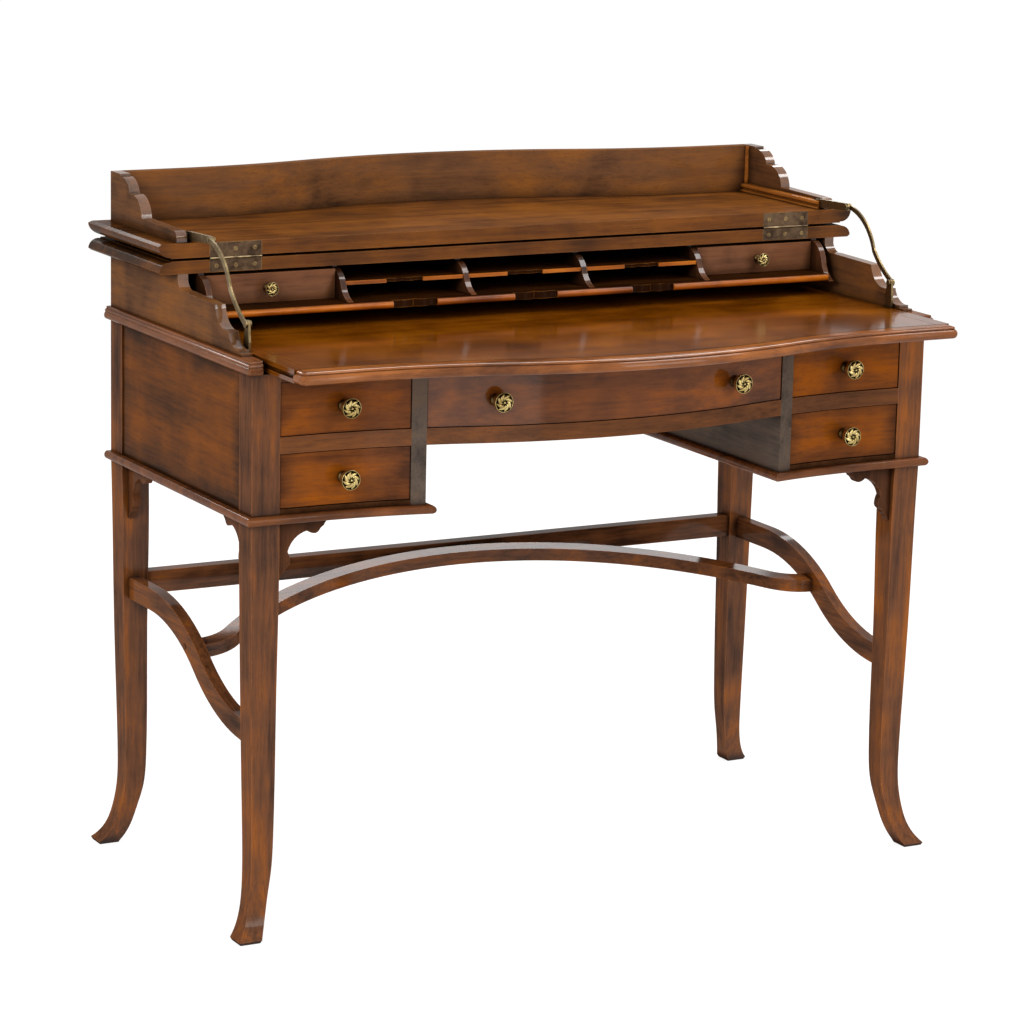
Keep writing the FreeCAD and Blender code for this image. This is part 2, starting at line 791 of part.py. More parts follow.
# --- the two leaves ------------------------------------------------------------------------------
def thumbnail(edge, bottom, top, sign):
    """Thumb moulding from the broad face at bottom to the narrow face at top."""
    step_z = top - sign * 1.5
    return [
        (edge - 4, bottom),
        (edge, bottom + sign * 3),
        ("q", (edge, step_z), (edge - leaf_moulding + 2, step_z)),
        (edge - leaf_moulding, step_z),
        (edge - leaf_moulding, top),
    ]


def moulded_leaf(bottom, top, sign, y0, y1):
    """A leaf with the thumb moulding along both ends."""
    section = [(0, bottom)] + thumbnail(leaf_half_width, bottom, top, sign) + [(0, top)]
    half = front_profile(section, y0, y1)
    return half.fuse(mirrored(half)).removeSplitter()


def hinge_recess(z0, z1):
    """Where the hinge plates are let into the meeting edges."""
    plate = box(plate_inner_x, plate_outer_x, leaf_front_y, leaf_front_y + plate_thickness, z0, z1)
    return plate.fuse(mirrored(plate))


lower_plate = (rear_leaf_bottom + plate_margin, rear_leaf_top)
upper_plate = (flap_bottom, flap_top - plate_margin)
rear_leaf = moulded_leaf(rear_leaf_bottom, rear_leaf_top, 1, leaf_front_y, leaf_rear_y)
add("top_leaf", rear_leaf.cut(hinge_recess(*lower_plate)))

rear_thumb = [(-behind_depth, flap_top)]
rear_thumb += thumbnail(0, flap_top, flap_bottom, -1) + [(-behind_depth, flap_bottom)]
flap_leaf = moulded_leaf(flap_top, flap_bottom, -1, leaf_front_y, leaf_rear_y + 2 * bow)
flap_leaf = flap_leaf.common(serpentine_moulding(rear_thumb, leaf_rear_y, 1))
add("flap_leaf", flap_leaf.cut(hinge_recess(*upper_plate)))


# --- butt hinges ---------------------------------------------------------------------------------
knuckle_length = plate_length / knuckles


def make_hinge_half(z0, z1, first):
    """One plate with every other knuckle; the knuckles wrap the line where the leaves meet."""
    half = box(plate_inner_x, plate_outer_x, leaf_front_y, leaf_front_y + plate_thickness, z0, z1)
    neck_low = min(z1, hinge_z) if first == 0 else hinge_z
    neck_high = hinge_z if first == 0 else z0
    for index in range(first, knuckles, 2):
        x0 = plate_inner_x + index * knuckle_length + knuckle_play
        x1 = plate_inner_x + (index + 1) * knuckle_length - knuckle_play
        half = half.fuse(box(x0, x1, leaf_front_y, leaf_front_y + plate_thickness, neck_low, neck_high))
        half = half.fuse(cylinder_x(knuckle_radius, x0, x1, hinge_y, hinge_z))
    return half


def hinge_bore(radius):
    return cylinder_x(radius, plate_inner_x, plate_outer_x, hinge_y, hinge_z)


hinge_pin = cylinder_x(hinge_pin_radius, plate_inner_x + knuckle_play, plate_outer_x - knuckle_play,
                       hinge_y, hinge_z)
lower_half = make_hinge_half(*lower_plate, 0).fuse(hinge_pin)
upper_half = make_hinge_half(*upper_plate, 1).cut(hinge_bore(hinge_pin_radius + pin_gap))
add("hinge_plates_lower", both_sides(lower_half))
add("hinge_plates_upper", both_sides(upper_half))


# --- beads at the foot of the flap gallery -------------------------------------------------------
bead_inner_x = gallery_inner_x - bead_width
bead_front_y = hinge_y + bead_setback
bead_top = flap_top + bead_height
bead_section = [
    (gallery_inner_x, flap_top),
    (bead_inner_x, flap_top),
    (bead_inner_x, flap_top + 3),
    ("q", (bead_inner_x, bead_top), (gallery_inner_x - 4, bead_top)),
    (gallery_inner_x, bead_top),
]
strap_low_z = flap_top + strap_rise
strap_top_z = strap_low_z + strap_height
bead = front_profile(bead_section, bead_front_y, gallery_back_y)
bead = bead.cut(box(bracket_plate_x - running_gap, gallery_inner_x, bead_front_y,
                    bracket_plate_rear_y, flap_top, bead_top))
corner_bead = box(gallery_inner_x - corner_bead_size, gallery_inner_x, gallery_back_y - corner_bead_size,
                  gallery_back_y, bead_top, overall_height - plate_margin)
add("flap_beads", both_sides(bead.fuse(corner_bead)))


# --- stays ---------------------------------------------------------------------------------------
stay_run = ((lower_pivot[0] - upper_pivot[0]) / stay_span, (lower_pivot[1] - upper_pivot[1]) / stay_span)
stay_side = (stay_run[1], -stay_run[0])


def stay_point(along, out):
    """A point of the stay, measured along the line between its pivots and forward of it."""
    y = upper_pivot[0] + along * stay_run[0] + out * stay_side[0]
    z = upper_pivot[1] + along * stay_run[1] + out * stay_side[1]
    return Vector(stay_x, y, z)


def make_stay():
    """A swan-necked brass bar with an eye at each end, its neck in two arcs."""
    half = stay_width / 2
    turn_at, low_at = stay_bends
    edges = []
    for shift in (-half, half):
        upper = stay_point(0, shift)
        crown = stay_point(turn_at / 2, stay_rise + shift)
        turn = stay_point(turn_at, shift)
        hollow = stay_point(low_at, shift - stay_dip)
        lower = stay_point(stay_span, shift)
        edges.append(Part.Arc(upper, crown, turn).toShape())
        edges.append(Part.Arc(turn, hollow, lower).toShape())
    edges.append(line(stay_point(0, -half), stay_point(0, half)))
    edges.append(line(stay_point(stay_span, -half), stay_point(stay_span, half)))
    bar = Part.Face(Part.Wire(Part.sortEdges(edges)[0])).extrude(Vector(stay_thickness, 0, 0))
    for pivot in (upper_pivot, lower_pivot):
        bar = bar.fuse(cylinder_x(stay_eye_radius, stay_x, stay_x + stay_thickness, *pivot))
    return bar.removeSplitter().cut(
        cylinder_x(stay_pin_radius + pin_gap, stay_x, stay_x + stay_thickness, *upper_pivot))


stay = make_stay()
add("stay_right", stay)
add("stay_left", mirrored(stay))


def plate_outline(points):
    face = polygon([Vector(bracket_plate_x, y, z) for y, z in points])
    return face.extrude(Vector(bracket_plate, 0, 0))


eye = stay_eye_radius
strap = plate_outline([
    (bracket_plate_rear_y, strap_low_z),
    (bracket_plate_rear_y, strap_top_z),
    (bead_front_y, strap_top_z + 3),
    (upper_pivot[0], upper_pivot[1] + eye),
    (upper_pivot[0], upper_pivot[1] - eye),
    (bead_front_y, strap_low_z),
])
bracket_outer_x = bracket_plate_x + bracket_plate
strap = strap.fuse(cylinder_x(eye, bracket_plate_x, bracket_outer_x, *upper_pivot))
strap = strap.fuse(box(bracket_outer_x, gallery_inner_x, bead_front_y + 4, bracket_plate_rear_y,
                       strap_low_z, strap_top_z))
strap = strap.cut(cylinder_x(stay_pin_radius, bracket_plate_x, bracket_outer_x, *upper_pivot))
upper_pin = cylinder_x(stay_pin_radius, bracket_plate_x, gallery_inner_x - running_gap, *upper_pivot)
upper_pin = upper_pin.fuse(
    cylinder_x(pin_head_radius, bracket_plate_x - pin_head, bracket_plate_x, *upper_pivot))
add("stay_brackets", both_sides(strap) + both_sides(upper_pin))

foot_rear_y = lower_pivot[0] + foot_plate_rear
foot_front_y = lower_pivot[0] - foot_plate_front
foot = plate_outline([
    (foot_front_y + foot_plate_taper, slide_top - foot_plate_sunk),
    (foot_rear_y - foot_plate_taper, slide_top - foot_plate_sunk),
    (foot_rear_y, slide_top + foot_plate_shoulder),
    (lower_pivot[0] + eye, lower_pivot[1]),
    (lower_pivot[0] - eye, lower_pivot[1]),
    (foot_front_y, slide_top + foot_plate_shoulder),
])
foot = foot.fuse(cylinder_x(eye, bracket_plate_x, bracket_outer_x, *lower_pivot))
foot = foot.fuse(cylinder_x(pin_head_radius, bracket_plate_x - pin_head, bracket_plate_x, *lower_pivot))
add("stay_feet", both_sides(foot))


# --- writing slide -------------------------------------------------------------------------------
board_half_width = slide_half_width - cleat_width
nosing_seat = serpentine_moulding([(-nosing_depth, slide_bottom), (0, slide_bottom), (0, slide_top),
                                   (-nosing_depth, slide_top)], -nosing_y)
board = serpentine_block(-nosing_y + nosing_depth / 2, slide_rear_y, slide_bottom, slide_top)
board = board.cut(nosing_seat)
field = board.common(box(-board_half_width, board_half_width, -far, far, slide_bottom, slide_top))
for sign in (-1, 1):
    joint_x = sign * board_half_width
    field = field.cut(box(joint_x - cleat_groove, joint_x + cleat_groove, -far, far,
                          slide_top - cleat_groove, slide_top))
cleat = board.common(box(board_half_width, slide_half_width, -far, far, slide_bottom, slide_top))
side_groove = box(gallery_inner_x - tongue_reach - running_gap, slide_half_width, -far, far,
                  tongue_z - running_gap, tongue_z + tongue_height + running_gap)
cleat = cleat.cut(side_groove).cut(foot)
add("slide_board", field)
add("slide_cleats", both_sides(cleat))

nose_top = slide_bottom + 11.0
nosing_steps = [
    (-nosing_depth, slide_bottom),
    (1, slide_bottom),
    ("a", (nosing_projection, (slide_bottom + nose_top) / 2), (1, nose_top)),
    (0, nose_top + 1),
    (0, slide_top),
    (-nosing_depth + 2, slide_top),
    (-nosing_depth + 2, slide_top - 1),
    (-nosing_depth, slide_top - 1),
]
nosing_half_width = slide_half_width + nosing_overhang
nosing = serpentine_moulding(nosing_steps, -nosing_y)
add("slide_nosing", nosing.common(
    box(-nosing_half_width, nosing_half_width, -far, 0, slide_bottom, slide_top)))


# --- stationery unit -----------------------------------------------------------------------------
def s_front(rear_y, top_z, front_y, low_z):
    """The ogee front edge of an upright, as steps from top to bottom."""
    mid_y = (rear_y + front_y) / 2
    mid_z = (top_z + low_z) / 2
    return [
        ("q", (mid_y + (rear_y - mid_y) * 0.4, top_z), (mid_y, mid_z)),
        ("q", (mid_y - (mid_y - front_y) * 0.4, low_z), (front_y, low_z)),
    ]


below_flap = closed_flap_bottom - flap_clearance
clear_of_flap_y = hinge_y + 1.5


def upright(rear_y, front_y, low_z, back_y):
    return [
        (back_y, low_z),
        (back_y, rear_leaf_bottom),
        (clear_of_flap_y + max(rear_y, 0), rear_leaf_bottom),
        (clear_of_flap_y + max(rear_y, 0), below_flap),
        (rear_y, below_flap),
    ] + s_front(rear_y, below_flap, front_y, low_z)


divider_steps = upright(hinge_y + 9.0, hinge_y - divider_reach, unit_floor_top, unit_back_y)
end_steps = upright(hinge_y - 5.0, unit_front_y - 2, unit_floor_bottom, unit_back_y)
end_panel = side_profile(end_steps, unit_inner_x, unit_half_width)
half_divider = divider_thickness / 2
dividers = [
    side_profile(divider_steps, x - half_divider, x + half_divider)
    for x in (outer_divider_x, inner_divider_x)
]
uprights = both_sides(end_panel)
for divider in dividers:
    uprights += both_sides(divider)
add("unit_uprights", uprights)


def cupid_notch(centre_x, width, front_y, z0, z1):
    """A finger notch with square ends and two bumps in its back edge."""
    half = width / 2
    deep = front_y + notch_depth
    bump = front_y + notch_depth * 0.45
    steps = [
        (centre_x - half, front_y - 20),
        (centre_x - half, deep - 2),
        ("q", (centre_x - half * 0.7, deep), (centre_x - half * 0.5, bump + 1)),
        ("q", (centre_x - half * 0.2, bump), (centre_x, deep)),
        ("q", (centre_x + half * 0.2, bump), (centre_x + half * 0.5, bump + 1)),
        ("q", (centre_x + half * 0.7, deep), (centre_x + half, deep - 2)),
        (centre_x + half, front_y - 20),
    ]
    return outline(steps, lambda x, y: Vector(x, y, z0)).extrude(Vector(0, 0, z1 - z0))


bay_centres = (-(outer_divider_x + inner_divider_x) / 2, 0.0, (outer_divider_x + inner_divider_x) / 2)
floor_nose = unit_floor / 2
floor_steps = [
    (unit_back_y, unit_floor_bottom),
    (unit_back_y, unit_floor_top),
    (unit_front_y + floor_nose, unit_floor_top),
    ("q", (unit_front_y, unit_floor_top), (unit_front_y, unit_floor_top - floor_nose)),
    ("q", (unit_front_y, unit_floor_bottom), (unit_front_y + floor_nose, unit_floor_bottom)),
]
unit_bottom = side_profile(floor_steps, -unit_inner_x, unit_inner_x)
for centre in bay_centres:
    unit_bottom = unit_bottom.cut(
        cupid_notch(centre, floor_notch, unit_front_y, unit_floor_bottom, unit_floor_top))
add("unit_bottom", unit_bottom)

shelf_bottom = shelf_top - shelf_thickness
shelf_spans = [
    (-inner_divider_x + half_divider, inner_divider_x - half_divider, 0.0),
    (inner_divider_x + half_divider, outer_divider_x - half_divider, bay_centres[2]),
    (-outer_divider_x + half_divider, -inner_divider_x - half_divider, bay_centres[0]),
]
shelves = []
for x0, x1, centre in shelf_spans:
    shelf = box(x0, x1, shelf_front_y, unit_back_y, shelf_bottom, shelf_top)
    shelves.append(shelf.cut(cupid_notch(centre, shelf_notch, shelf_front_y, shelf_bottom, shelf_top)))
add("unit_shelves", shelves)


# --- drawers -------------------------------------------------------------------------------------
knob_blades = 8
knob_sides = 2 * knob_blades


def knob_ring(x, y, z, wide, narrow, turned):
    """One ring of a knob, its points by turns on a blade and between two."""
    ring = []
    for index in range(knob_sides):
        reach = narrow if index % 2 else wide
        angle = 2 * math.pi * (index / knob_sides + turned / knob_blades)
        ring.append(Vector(x + reach * math.cos(angle), y, z + reach * math.sin(angle)))
    return ring


def stud_bore(x, y, z, length):
    """The bore that a knob's stud fills."""
    return polygon(knob_ring(x, y, z, knob_stud_radius, knob_stud_radius, 0)).extrude(Vector(0, length, 0))


def make_knob(x, y, z, radius, height, through):
    """A cast brass knob: an eight-bladed whirl on a turned neck, with its stud through the front."""
    # radius of the blades, radius between them, distance out, share of a blade turned
    rings = [
        (knob_stud_radius, knob_stud_radius, -through, 0.0),
        (knob_stud_radius, knob_stud_radius, 0.0, 0.0),
        (radius * 0.62, radius * 0.62, 0.0, 0.0),
        (radius * 0.58, radius * 0.58, height * 0.1, 0.0),
        (radius * 0.42, radius * 0.42, height * 0.35, 0.0),
        (radius, radius * 0.93, height * 0.66, 0.0),
        (radius * 0.97, radius * 0.86, height * 0.8, 0.25),
        (radius * 0.66, radius * 0.58, height * 0.95, 0.75),
        (radius * 0.24, radius * 0.24, height, 1.25),
    ]
    rows = []
    for wide, narrow, out, turned in rings:
        rows.append(knob_ring(x, y - out, z, wide, narrow, turned))
    faces = [polygon(rows[0]), polygon(rows[-1])]
    for low, high in zip(rows, rows[1:]):
        for index in range(knob_sides):
            after = (index + 1) % knob_sides
            faces.append(polygon([low[index], low[after], high[after]]))
            faces.append(polygon([low[index], high[after], high[index]]))
    knob = Part.Solid(Part.Shell(faces))
    if knob.Volume < 0:
        knob.reverse()
    return knob


def drawer_walls(x0, x1, front, rear, z0, z1, wall, floor, shell):
    """Two sides, a back and a bottom, cut to lie behind the drawer's front."""
    pieces = [
        box(x0, x0 + wall, front, rear, z0, z1),
        box(x1 - wall, x1, front, rear, z0, z1),
        box(x0 + wall, x1 - wall, rear - wall, rear, z0, z1),
        box(x0 + wall, x1 - wall, front, rear - wall, z0 + drawer_floor_rise,
            z0 + drawer_floor_rise + floor),
    ]
    return [piece.common(shell) for piece in pieces]


def serpentine_drawer(name, x0, x1, z0, z1, knob_places):
    """A case drawer whose front follows the serpentine."""
    face_y = -half_depth + drawer_setback
    rear_face_y = face_y + drawer_front
    front_slab = serpentine_block(face_y, 0, z0 + drawer_gap, z1 - drawer_gap).cut(
        serpentine_block(rear_face_y, 0, z0 + drawer_gap, z1 - drawer_gap))
    front = front_slab.common(box(x0 + drawer_gap, x1 - drawer_gap, -far, 0, z0, z1))
    behind = serpentine_block(rear_face_y, drawer_rear_y, z0, z1)
    walls = drawer_walls(x0 + drawer_side_play, x1 - drawer_side_play, -far, drawer_rear_y,
                         z0 + running_gap, z1 - drawer_side_drop, drawer_wall, drawer_floor, behind)
    knobs = []
    for x in knob_places:
        y = front_y_at(x) + drawer_setback
        z = (z0 + z1) / 2
        knobs.append(make_knob(x, y, z, knob_radius, knob_height, drawer_front))
        front = front.cut(stud_bore(x, y - drawer_front, z, 2 * drawer_front))
    pieces = [knob.cut(front) for knob in knobs]
    add(name + "_front", front)
    add(name + "_box", walls)
    add(name + ("_knobs" if len(pieces) > 1 else "_knob"), pieces)


def front_y_at(x):
    """How far forward the case front stands at x."""
    away = abs(x)
    if away < bow_turn:
        return -half_depth - bow + bow_radius - math.sqrt(bow_radius ** 2 - away ** 2)
    rest = max(2 * bow_turn - away, 0)
    return -half_depth - bow_radius + math.sqrt(bow_radius ** 2 - rest ** 2)


for side, word in ((-1, "left"), (1, "right")):
    near, wide = sorted((side * inner_side_outer_x, side * post_inner_x))
    places = [side * pedestal_knob_x]
    serpentine_drawer("upper_drawer_" + word, near, wide, mid_rail_top, top_rail_bottom, places)
    serpentine_drawer("lower_drawer_" + word, near, wide, drawer_base, mid_rail_bottom, places)
serpentine_drawer("centre_drawer", -inner_side_x, inner_side_x, mid_rail_top, top_rail_bottom,
                  [-centre_knob_x, centre_knob_x])

small_bottom = unit_floor_top + running_gap
small_top = below_flap - drawer_gap
for side, word in ((-1, "left"), (1, "right")):
    near, wide = sorted((side * (outer_divider_x + half_divider + drawer_gap),
                         side * (unit_inner_x - drawer_gap)))
    knob_x = side * small_knob_x
    middle_z = (small_bottom + small_top) / 2
    front = box(near, wide, small_front_y, small_front_y + small_front, small_bottom, small_top)
    front = front.cut(stud_bore(knob_x, small_front_y, middle_z, small_front))
    behind = box(near, wide, small_front_y + small_front, small_rear_y, small_bottom, small_top)
    walls = drawer_walls(near, wide, small_front_y, small_rear_y, small_bottom, small_top - small_side_drop,
                         small_wall, small_floor, behind)
    add("small_drawer_" + word + "_front", front)
    add("small_drawer_" + word + "_box", walls)
    add("small_drawer_" + word + "_knob", make_knob(
        knob_x, small_front_y, middle_z, small_knob_radius, small_knob_height, small_front))


# --- write the pieces, moved so that the origin is under the middle of the open desk -------------
front_extent = -nosing_y - nosing_projection - bow
rear_extent = leaf_rear_y + bow
shift = Vector(0, -(front_extent + rear_extent) / 2, 0)

os.makedirs("parts", exist_ok=True)
for name, shapes in nodes.items():
    piece = shapes[0] if len(shapes) == 1 else Part.makeCompound(shapes)
    piece = piece.copy()
    piece.translate(shift)
    piece.exportStep("parts/" + name + ".step")
    print(name, len(piece.Solids), piece.isValid(), round(piece.Volume / 1000, 1))
print("nodes", len(nodes), "shift", shift.y)
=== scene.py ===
import math

import bmesh
import bpy
from mathutils import Matrix, Vector


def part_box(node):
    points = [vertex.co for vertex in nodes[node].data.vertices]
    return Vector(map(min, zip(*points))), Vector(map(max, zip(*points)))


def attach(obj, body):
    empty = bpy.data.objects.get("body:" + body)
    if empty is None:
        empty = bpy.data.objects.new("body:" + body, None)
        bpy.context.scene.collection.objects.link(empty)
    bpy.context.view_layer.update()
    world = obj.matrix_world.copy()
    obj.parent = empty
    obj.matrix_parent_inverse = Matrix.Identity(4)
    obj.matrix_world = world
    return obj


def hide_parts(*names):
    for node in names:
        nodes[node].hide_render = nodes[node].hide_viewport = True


# Bonheur du jour in polished mahogany with a golden writing board and aged brass fittings.
# Metres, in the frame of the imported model: +X is the sitter's right, -Y the front, +Z up.

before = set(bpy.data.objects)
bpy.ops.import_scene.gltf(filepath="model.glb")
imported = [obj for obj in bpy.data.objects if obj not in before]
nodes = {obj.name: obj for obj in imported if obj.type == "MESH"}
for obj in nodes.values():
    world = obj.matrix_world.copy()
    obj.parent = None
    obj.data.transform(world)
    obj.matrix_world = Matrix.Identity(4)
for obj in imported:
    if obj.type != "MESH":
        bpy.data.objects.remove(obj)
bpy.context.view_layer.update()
scene = bpy.context.scene
scene.view_settings.view_transform = "Standard"
same_point = 1e-6


# ---------------------------------------------------------------- camera, floor and light
camera_place = Vector((-2.4034, -4.3614, 1.5710))
camera_turn = math.radians(-28.526)
camera_dip = math.radians(-12.313)
camera_tilt = math.radians(1.280)
camera_lens = 130.94
sensor_width = 36.0

pure_white = (1, 1, 1)
desk_middle = (0, -0.1, 0.65)
# Name, place, aim, size, power and colour of each lamp.
lamps = [
    ("window_left", (-3.3, -2.0, 2.4), desk_middle, (1.2, 1.2), 70, (1.0, 0.98, 0.95)),
    ("window_front_right", (1.9, -3.6, 2.0), desk_middle, (1.4, 1.4), 34, (1.0, 0.97, 0.93)),
    ("window_rear_right", (1.6, 2.4, 2.3), desk_middle, (1.2, 1.0), 26, pure_white),
    ("window_overhead", (1.3, -0.7, 2.8), desk_middle, (1.2, 0.9), 32, pure_white),
    ("strip_rear", (-0.7, 3.0, 2.2), desk_middle, (1.0, 0.16), 6, pure_white),
    ("strip_left_low", (-3.2, -1.7, 0.35), (-0.4, -0.1, 0.35), (0.2, 0.5), 4, pure_white),
    ("front_low", (0.0, -2.8, 0.2), (-0.15, -0.34, 0.68), (0.8, 0.35), 1.2, pure_white),
]
soft_colour = (1.0, 0.97, 0.93, 1)
soft_strength = 0.50
backdrop_colour = (1, 1, 1, 1)
backdrop_strength = 1.0
floor_reach = 30
floor_drop = 0.0005
floor_lit = (0.80, 0.79, 0.78, 1)
floor_seen = (0.30, 0.30, 0.30, 1)
floor_glow = 0.865


def add_camera():
    """The standing eye before the left front corner of the desk."""
    data = bpy.data.cameras.new("studio_camera")
    data.lens = camera_lens
    data.sensor_width = sensor_width
    camera = bpy.data.objects.new("studio_camera", data)
    scene.collection.objects.link(camera)
    turn = Matrix.Rotation(camera_turn, 4, "Z")
    turn = turn @ Matrix.Rotation(math.pi / 2 + camera_dip, 4, "X")
    turn = turn @ Matrix.Rotation(camera_tilt, 4, "Z")
    camera.matrix_world = Matrix.Translation(camera_place) @ turn
    scene.camera = camera


def add_lamp(name, place, aim, size, power, colour):
    """A window or strip of light, turned to what it lights."""
    data = bpy.data.lights.new(name, "AREA")
    data.shape = "RECTANGLE"
    data.size, data.size_y = size
    data.energy = power
    data.color = colour
    lamp = bpy.data.objects.new(name, data)
    scene.collection.objects.link(lamp)
    lamp.location = place
    lamp.rotation_euler = (Vector(aim) - Vector(place)).to_track_quat("-Z", "Y").to_euler()


def seen_directly(graph):
    """1 where the camera, polished metal or glass looks at a backdrop."""
    path = graph.add("LightPath")
    seen = path.outputs["Is Camera Ray"]
    for ray in ("Is Glossy Ray", "Is Transmission Ray"):
        seen = graph.math("MAXIMUM", seen, path.outputs[ray])
    return seen


def add_world():
    """Soft light on the desk, and plain white where the backdrop itself is seen."""
    world = bpy.data.worlds.new("studio")
    world.use_nodes = True
    scene.world = world
    world.node_tree.nodes.clear()
    graph = Graph(world.node_tree)
    soft = graph.add("Background", Color=soft_colour, Strength=soft_strength).outputs[0]
    white = graph.add("Background", Color=backdrop_colour, Strength=backdrop_strength).outputs[0]
    mix = graph.add("MixShader", Fac=seen_directly(graph), i1=soft, i2=white).outputs[0]
    graph.add("OutputWorld", i0=mix)


def add_floor():
    """A white floor under the feet, which keeps the desk's shadow."""
    plane = bmesh.new()
    bmesh.ops.create_grid(plane, x_segments=1, y_segments=1, size=floor_reach)
    floor = mesh_object("studio_floor", plane)
    floor.location.z = -floor_drop
    paint = bpy.data.materials.new("studio_white")
    paint.use_nodes = True
    paint.node_tree.nodes.clear()
    graph = Graph(paint.node_tree)
    lit = graph.add("BsdfDiffuse", Color=floor_lit).outputs[0]
    shadowed = graph.add("BsdfDiffuse", Color=floor_seen).outputs[0]
    glow = graph.add("Emission", Strength=floor_glow).outputs[0]
    seen = graph.add("AddShader", i0=shadowed, i1=glow).outputs[0]
    mix = graph.add("MixShader", Fac=seen_directly(graph), i1=lit, i2=seen).outputs[0]
    graph.add("OutputMaterial", i0=mix)
    floor.data.materials.append(paint)


def add_studio():
    add_world()
    add_floor()
    for lamp in lamps:
        add_lamp(*lamp)


# ---------------------------------------------------------------- writing node trees
class Graph:
    """A short way to write a node tree."""

    def __init__(self, tree):
        self.tree = tree

    def feed(self, socket, value):
        """Links an output to a socket, or sets the socket to a constant."""
        if isinstance(value, bpy.types.NodeSocket):
            self.tree.links.new(value, socket)
        else:
            socket.default_value = value

    def add(self, kind, settings=None, **inputs):
        """A new node. An input goes by its label, or by its number as i0, i1 and so on."""
        made = self.tree.nodes.new("ShaderNode" + kind)
        for key, value in (settings or {}).items():
            setattr(made, key, value)
        for key, value in inputs.items():
            numbered = key[0] == "i" and key[1:].isdigit()
            self.feed(made.inputs[int(key[1:]) if numbered else key], value)
        return made

    def math(self, operation, first, second):
        return self.add("Math", {"operation": operation}, i0=first, i1=second).outputs[0]

    def vector(self, operation, first, second):
        return self.add("VectorMath", {"operation": operation}, i0=first, i1=second)

    def spread(self, value, low, high, to_low=0.0, to_high=1.0):
        """Maps low..high to to_low..to_high, and no further."""
        made = self.add("MapRange", {"clamp": True}, i0=value, i1=low, i2=high, i3=to_low,
                        i4=to_high)
        return made.outputs[0]

    def blend(self, amount, first, second):
        """From the first colour, where amount is 0, to the second, where it is 1."""
        made = self.add("Mix", {"data_type": "RGBA", "clamp_factor": True},
                        i0=amount, i6=first, i7=second)
        return made.outputs[2]

    def shares(self, first, second, part):
        """A part of the first value and the rest of the second."""
        return self.math("ADD", self.math("MULTIPLY", first, part),
                         self.math("MULTIPLY", second, 1 - part))

    def about_zero(self, value, strength):
        """Brings a value that lies about a half down to zero, and scales it."""
        return self.math("MULTIPLY", self.math("SUBTRACT", value, 0.5), strength)

    def noise(self, vector, scale, detail, rough, bend=0.0):
        made = self.add("TexNoise", Vector=vector, Scale=scale, Detail=detail, Roughness=rough,
                        Distortion=bend)
        return made.outputs["Fac"]

    def place(self):
        """Where a point lies, in metres of the frame."""
        return self.add("TexCoord").outputs["Object"]

    def along(self, vector, axis):
        """What a vector measures along an axis, 0 for x, 1 for y and 2 for z."""
        return self.add("SeparateXYZ", Vector=vector).outputs[axis]


# ---------------------------------------------------------------- shaping
def mesh_object(name, mesh):
    """Puts a finished mesh into the scene under its own name."""
    data = bpy.data.meshes.new(name)
    mesh.to_mesh(data)
    mesh.free()
    made = bpy.data.objects.new(name, data)
    scene.collection.objects.link(made)
    return made


def whole(verts):
    """Vertices with all the edges and faces that meet at them."""
    edges = {edge for vert in verts for edge in vert.link_edges}
    faces = {face for vert in verts for face in vert.link_faces}
    return verts + list(edges) + list(faces)


def saw_off(mesh, verts, point, outward):
    """Saws off what lies beyond a plane, closes the cut and gives the vertices that stay."""
    cut = bmesh.ops.bisect_plane(mesh, geom=whole(verts), plane_co=point, plane_no=outward,
                                 clear_outer=True)
    rim = [part for part in cut["geom_cut"] if isinstance(part, bmesh.types.BMEdge)]
    bmesh.ops.holes_fill(mesh, edges=rim, sides=0)
    left = {part for part in cut["geom"]
            if isinstance(part, bmesh.types.BMVert) and part.is_valid}
    return list(left | {vert for edge in rim for vert in edge.verts})


def block(mesh, low, high):
    """A squared block between two opposite corners, as its vertices."""
    made = bmesh.ops.create_cube(mesh, size=1.0)["verts"]
    bmesh.ops.scale(mesh, verts=made, vec=high - low)
    bmesh.ops.translate(mesh, verts=made, vec=(low + high) / 2)
    return made


def carry(mesh, section, path, foot):
    """Bends a flat sheet round a section and along a path, and closes its ends.

    The section is in millimetres out from the path and up from the foot, and the path is a list of
    places and the ways they face.
    """
    steps, rounds = len(path) - 1, len(section) - 1
    sheet = bmesh.ops.create_grid(mesh, x_segments=steps, y_segments=rounds, size=1)["verts"]
    for vert in sheet:
        place, facing = path[round((vert.co.x + 1) / 2 * steps)]
        out, up = section[round((vert.co.y + 1) / 2 * rounds)]
        vert.co = place + facing * out / 1000 + Vector((0, 0, foot + up / 1000))
    bmesh.ops.remove_doubles(mesh, verts=sheet, dist=same_point)
    rim = [edge for edge in mesh.edges if edge.is_boundary]
    bmesh.ops.holes_fill(mesh, edges=rim, sides=0)


def add_mirror_half(mesh):
    """The other half of a piece, on the far side of the desk's middle."""
    bmesh.ops.mirror(mesh, geom=mesh.verts[:] + mesh.edges[:] + mesh.faces[:], axis="X",
                     merge_dist=0)


# ---------------------------------------------------------------- shared figure, rubbed arrises, dirt and painted shade
def new_group(name, inputs, outputs):
    """An empty node group with its sockets, each given as kind, label and default."""
    tree = bpy.data.node_groups.new(name, "ShaderNodeTree")
    for kind, label, value in inputs:
        socket = tree.interface.new_socket(label, in_out="INPUT", socket_type="NodeSocket" + kind)
        socket.default_value = value
    for kind, label in outputs:
        tree.interface.new_socket(label, in_out="OUTPUT", socket_type="NodeSocket" + kind)
    return tree, Graph(tree), tree.nodes.new("NodeGroupInput"), tree.nodes.new("NodeGroupOutput")


pore_darkness = 0.30
wear_and_shade_samples = 6
groove_reach = 0.008


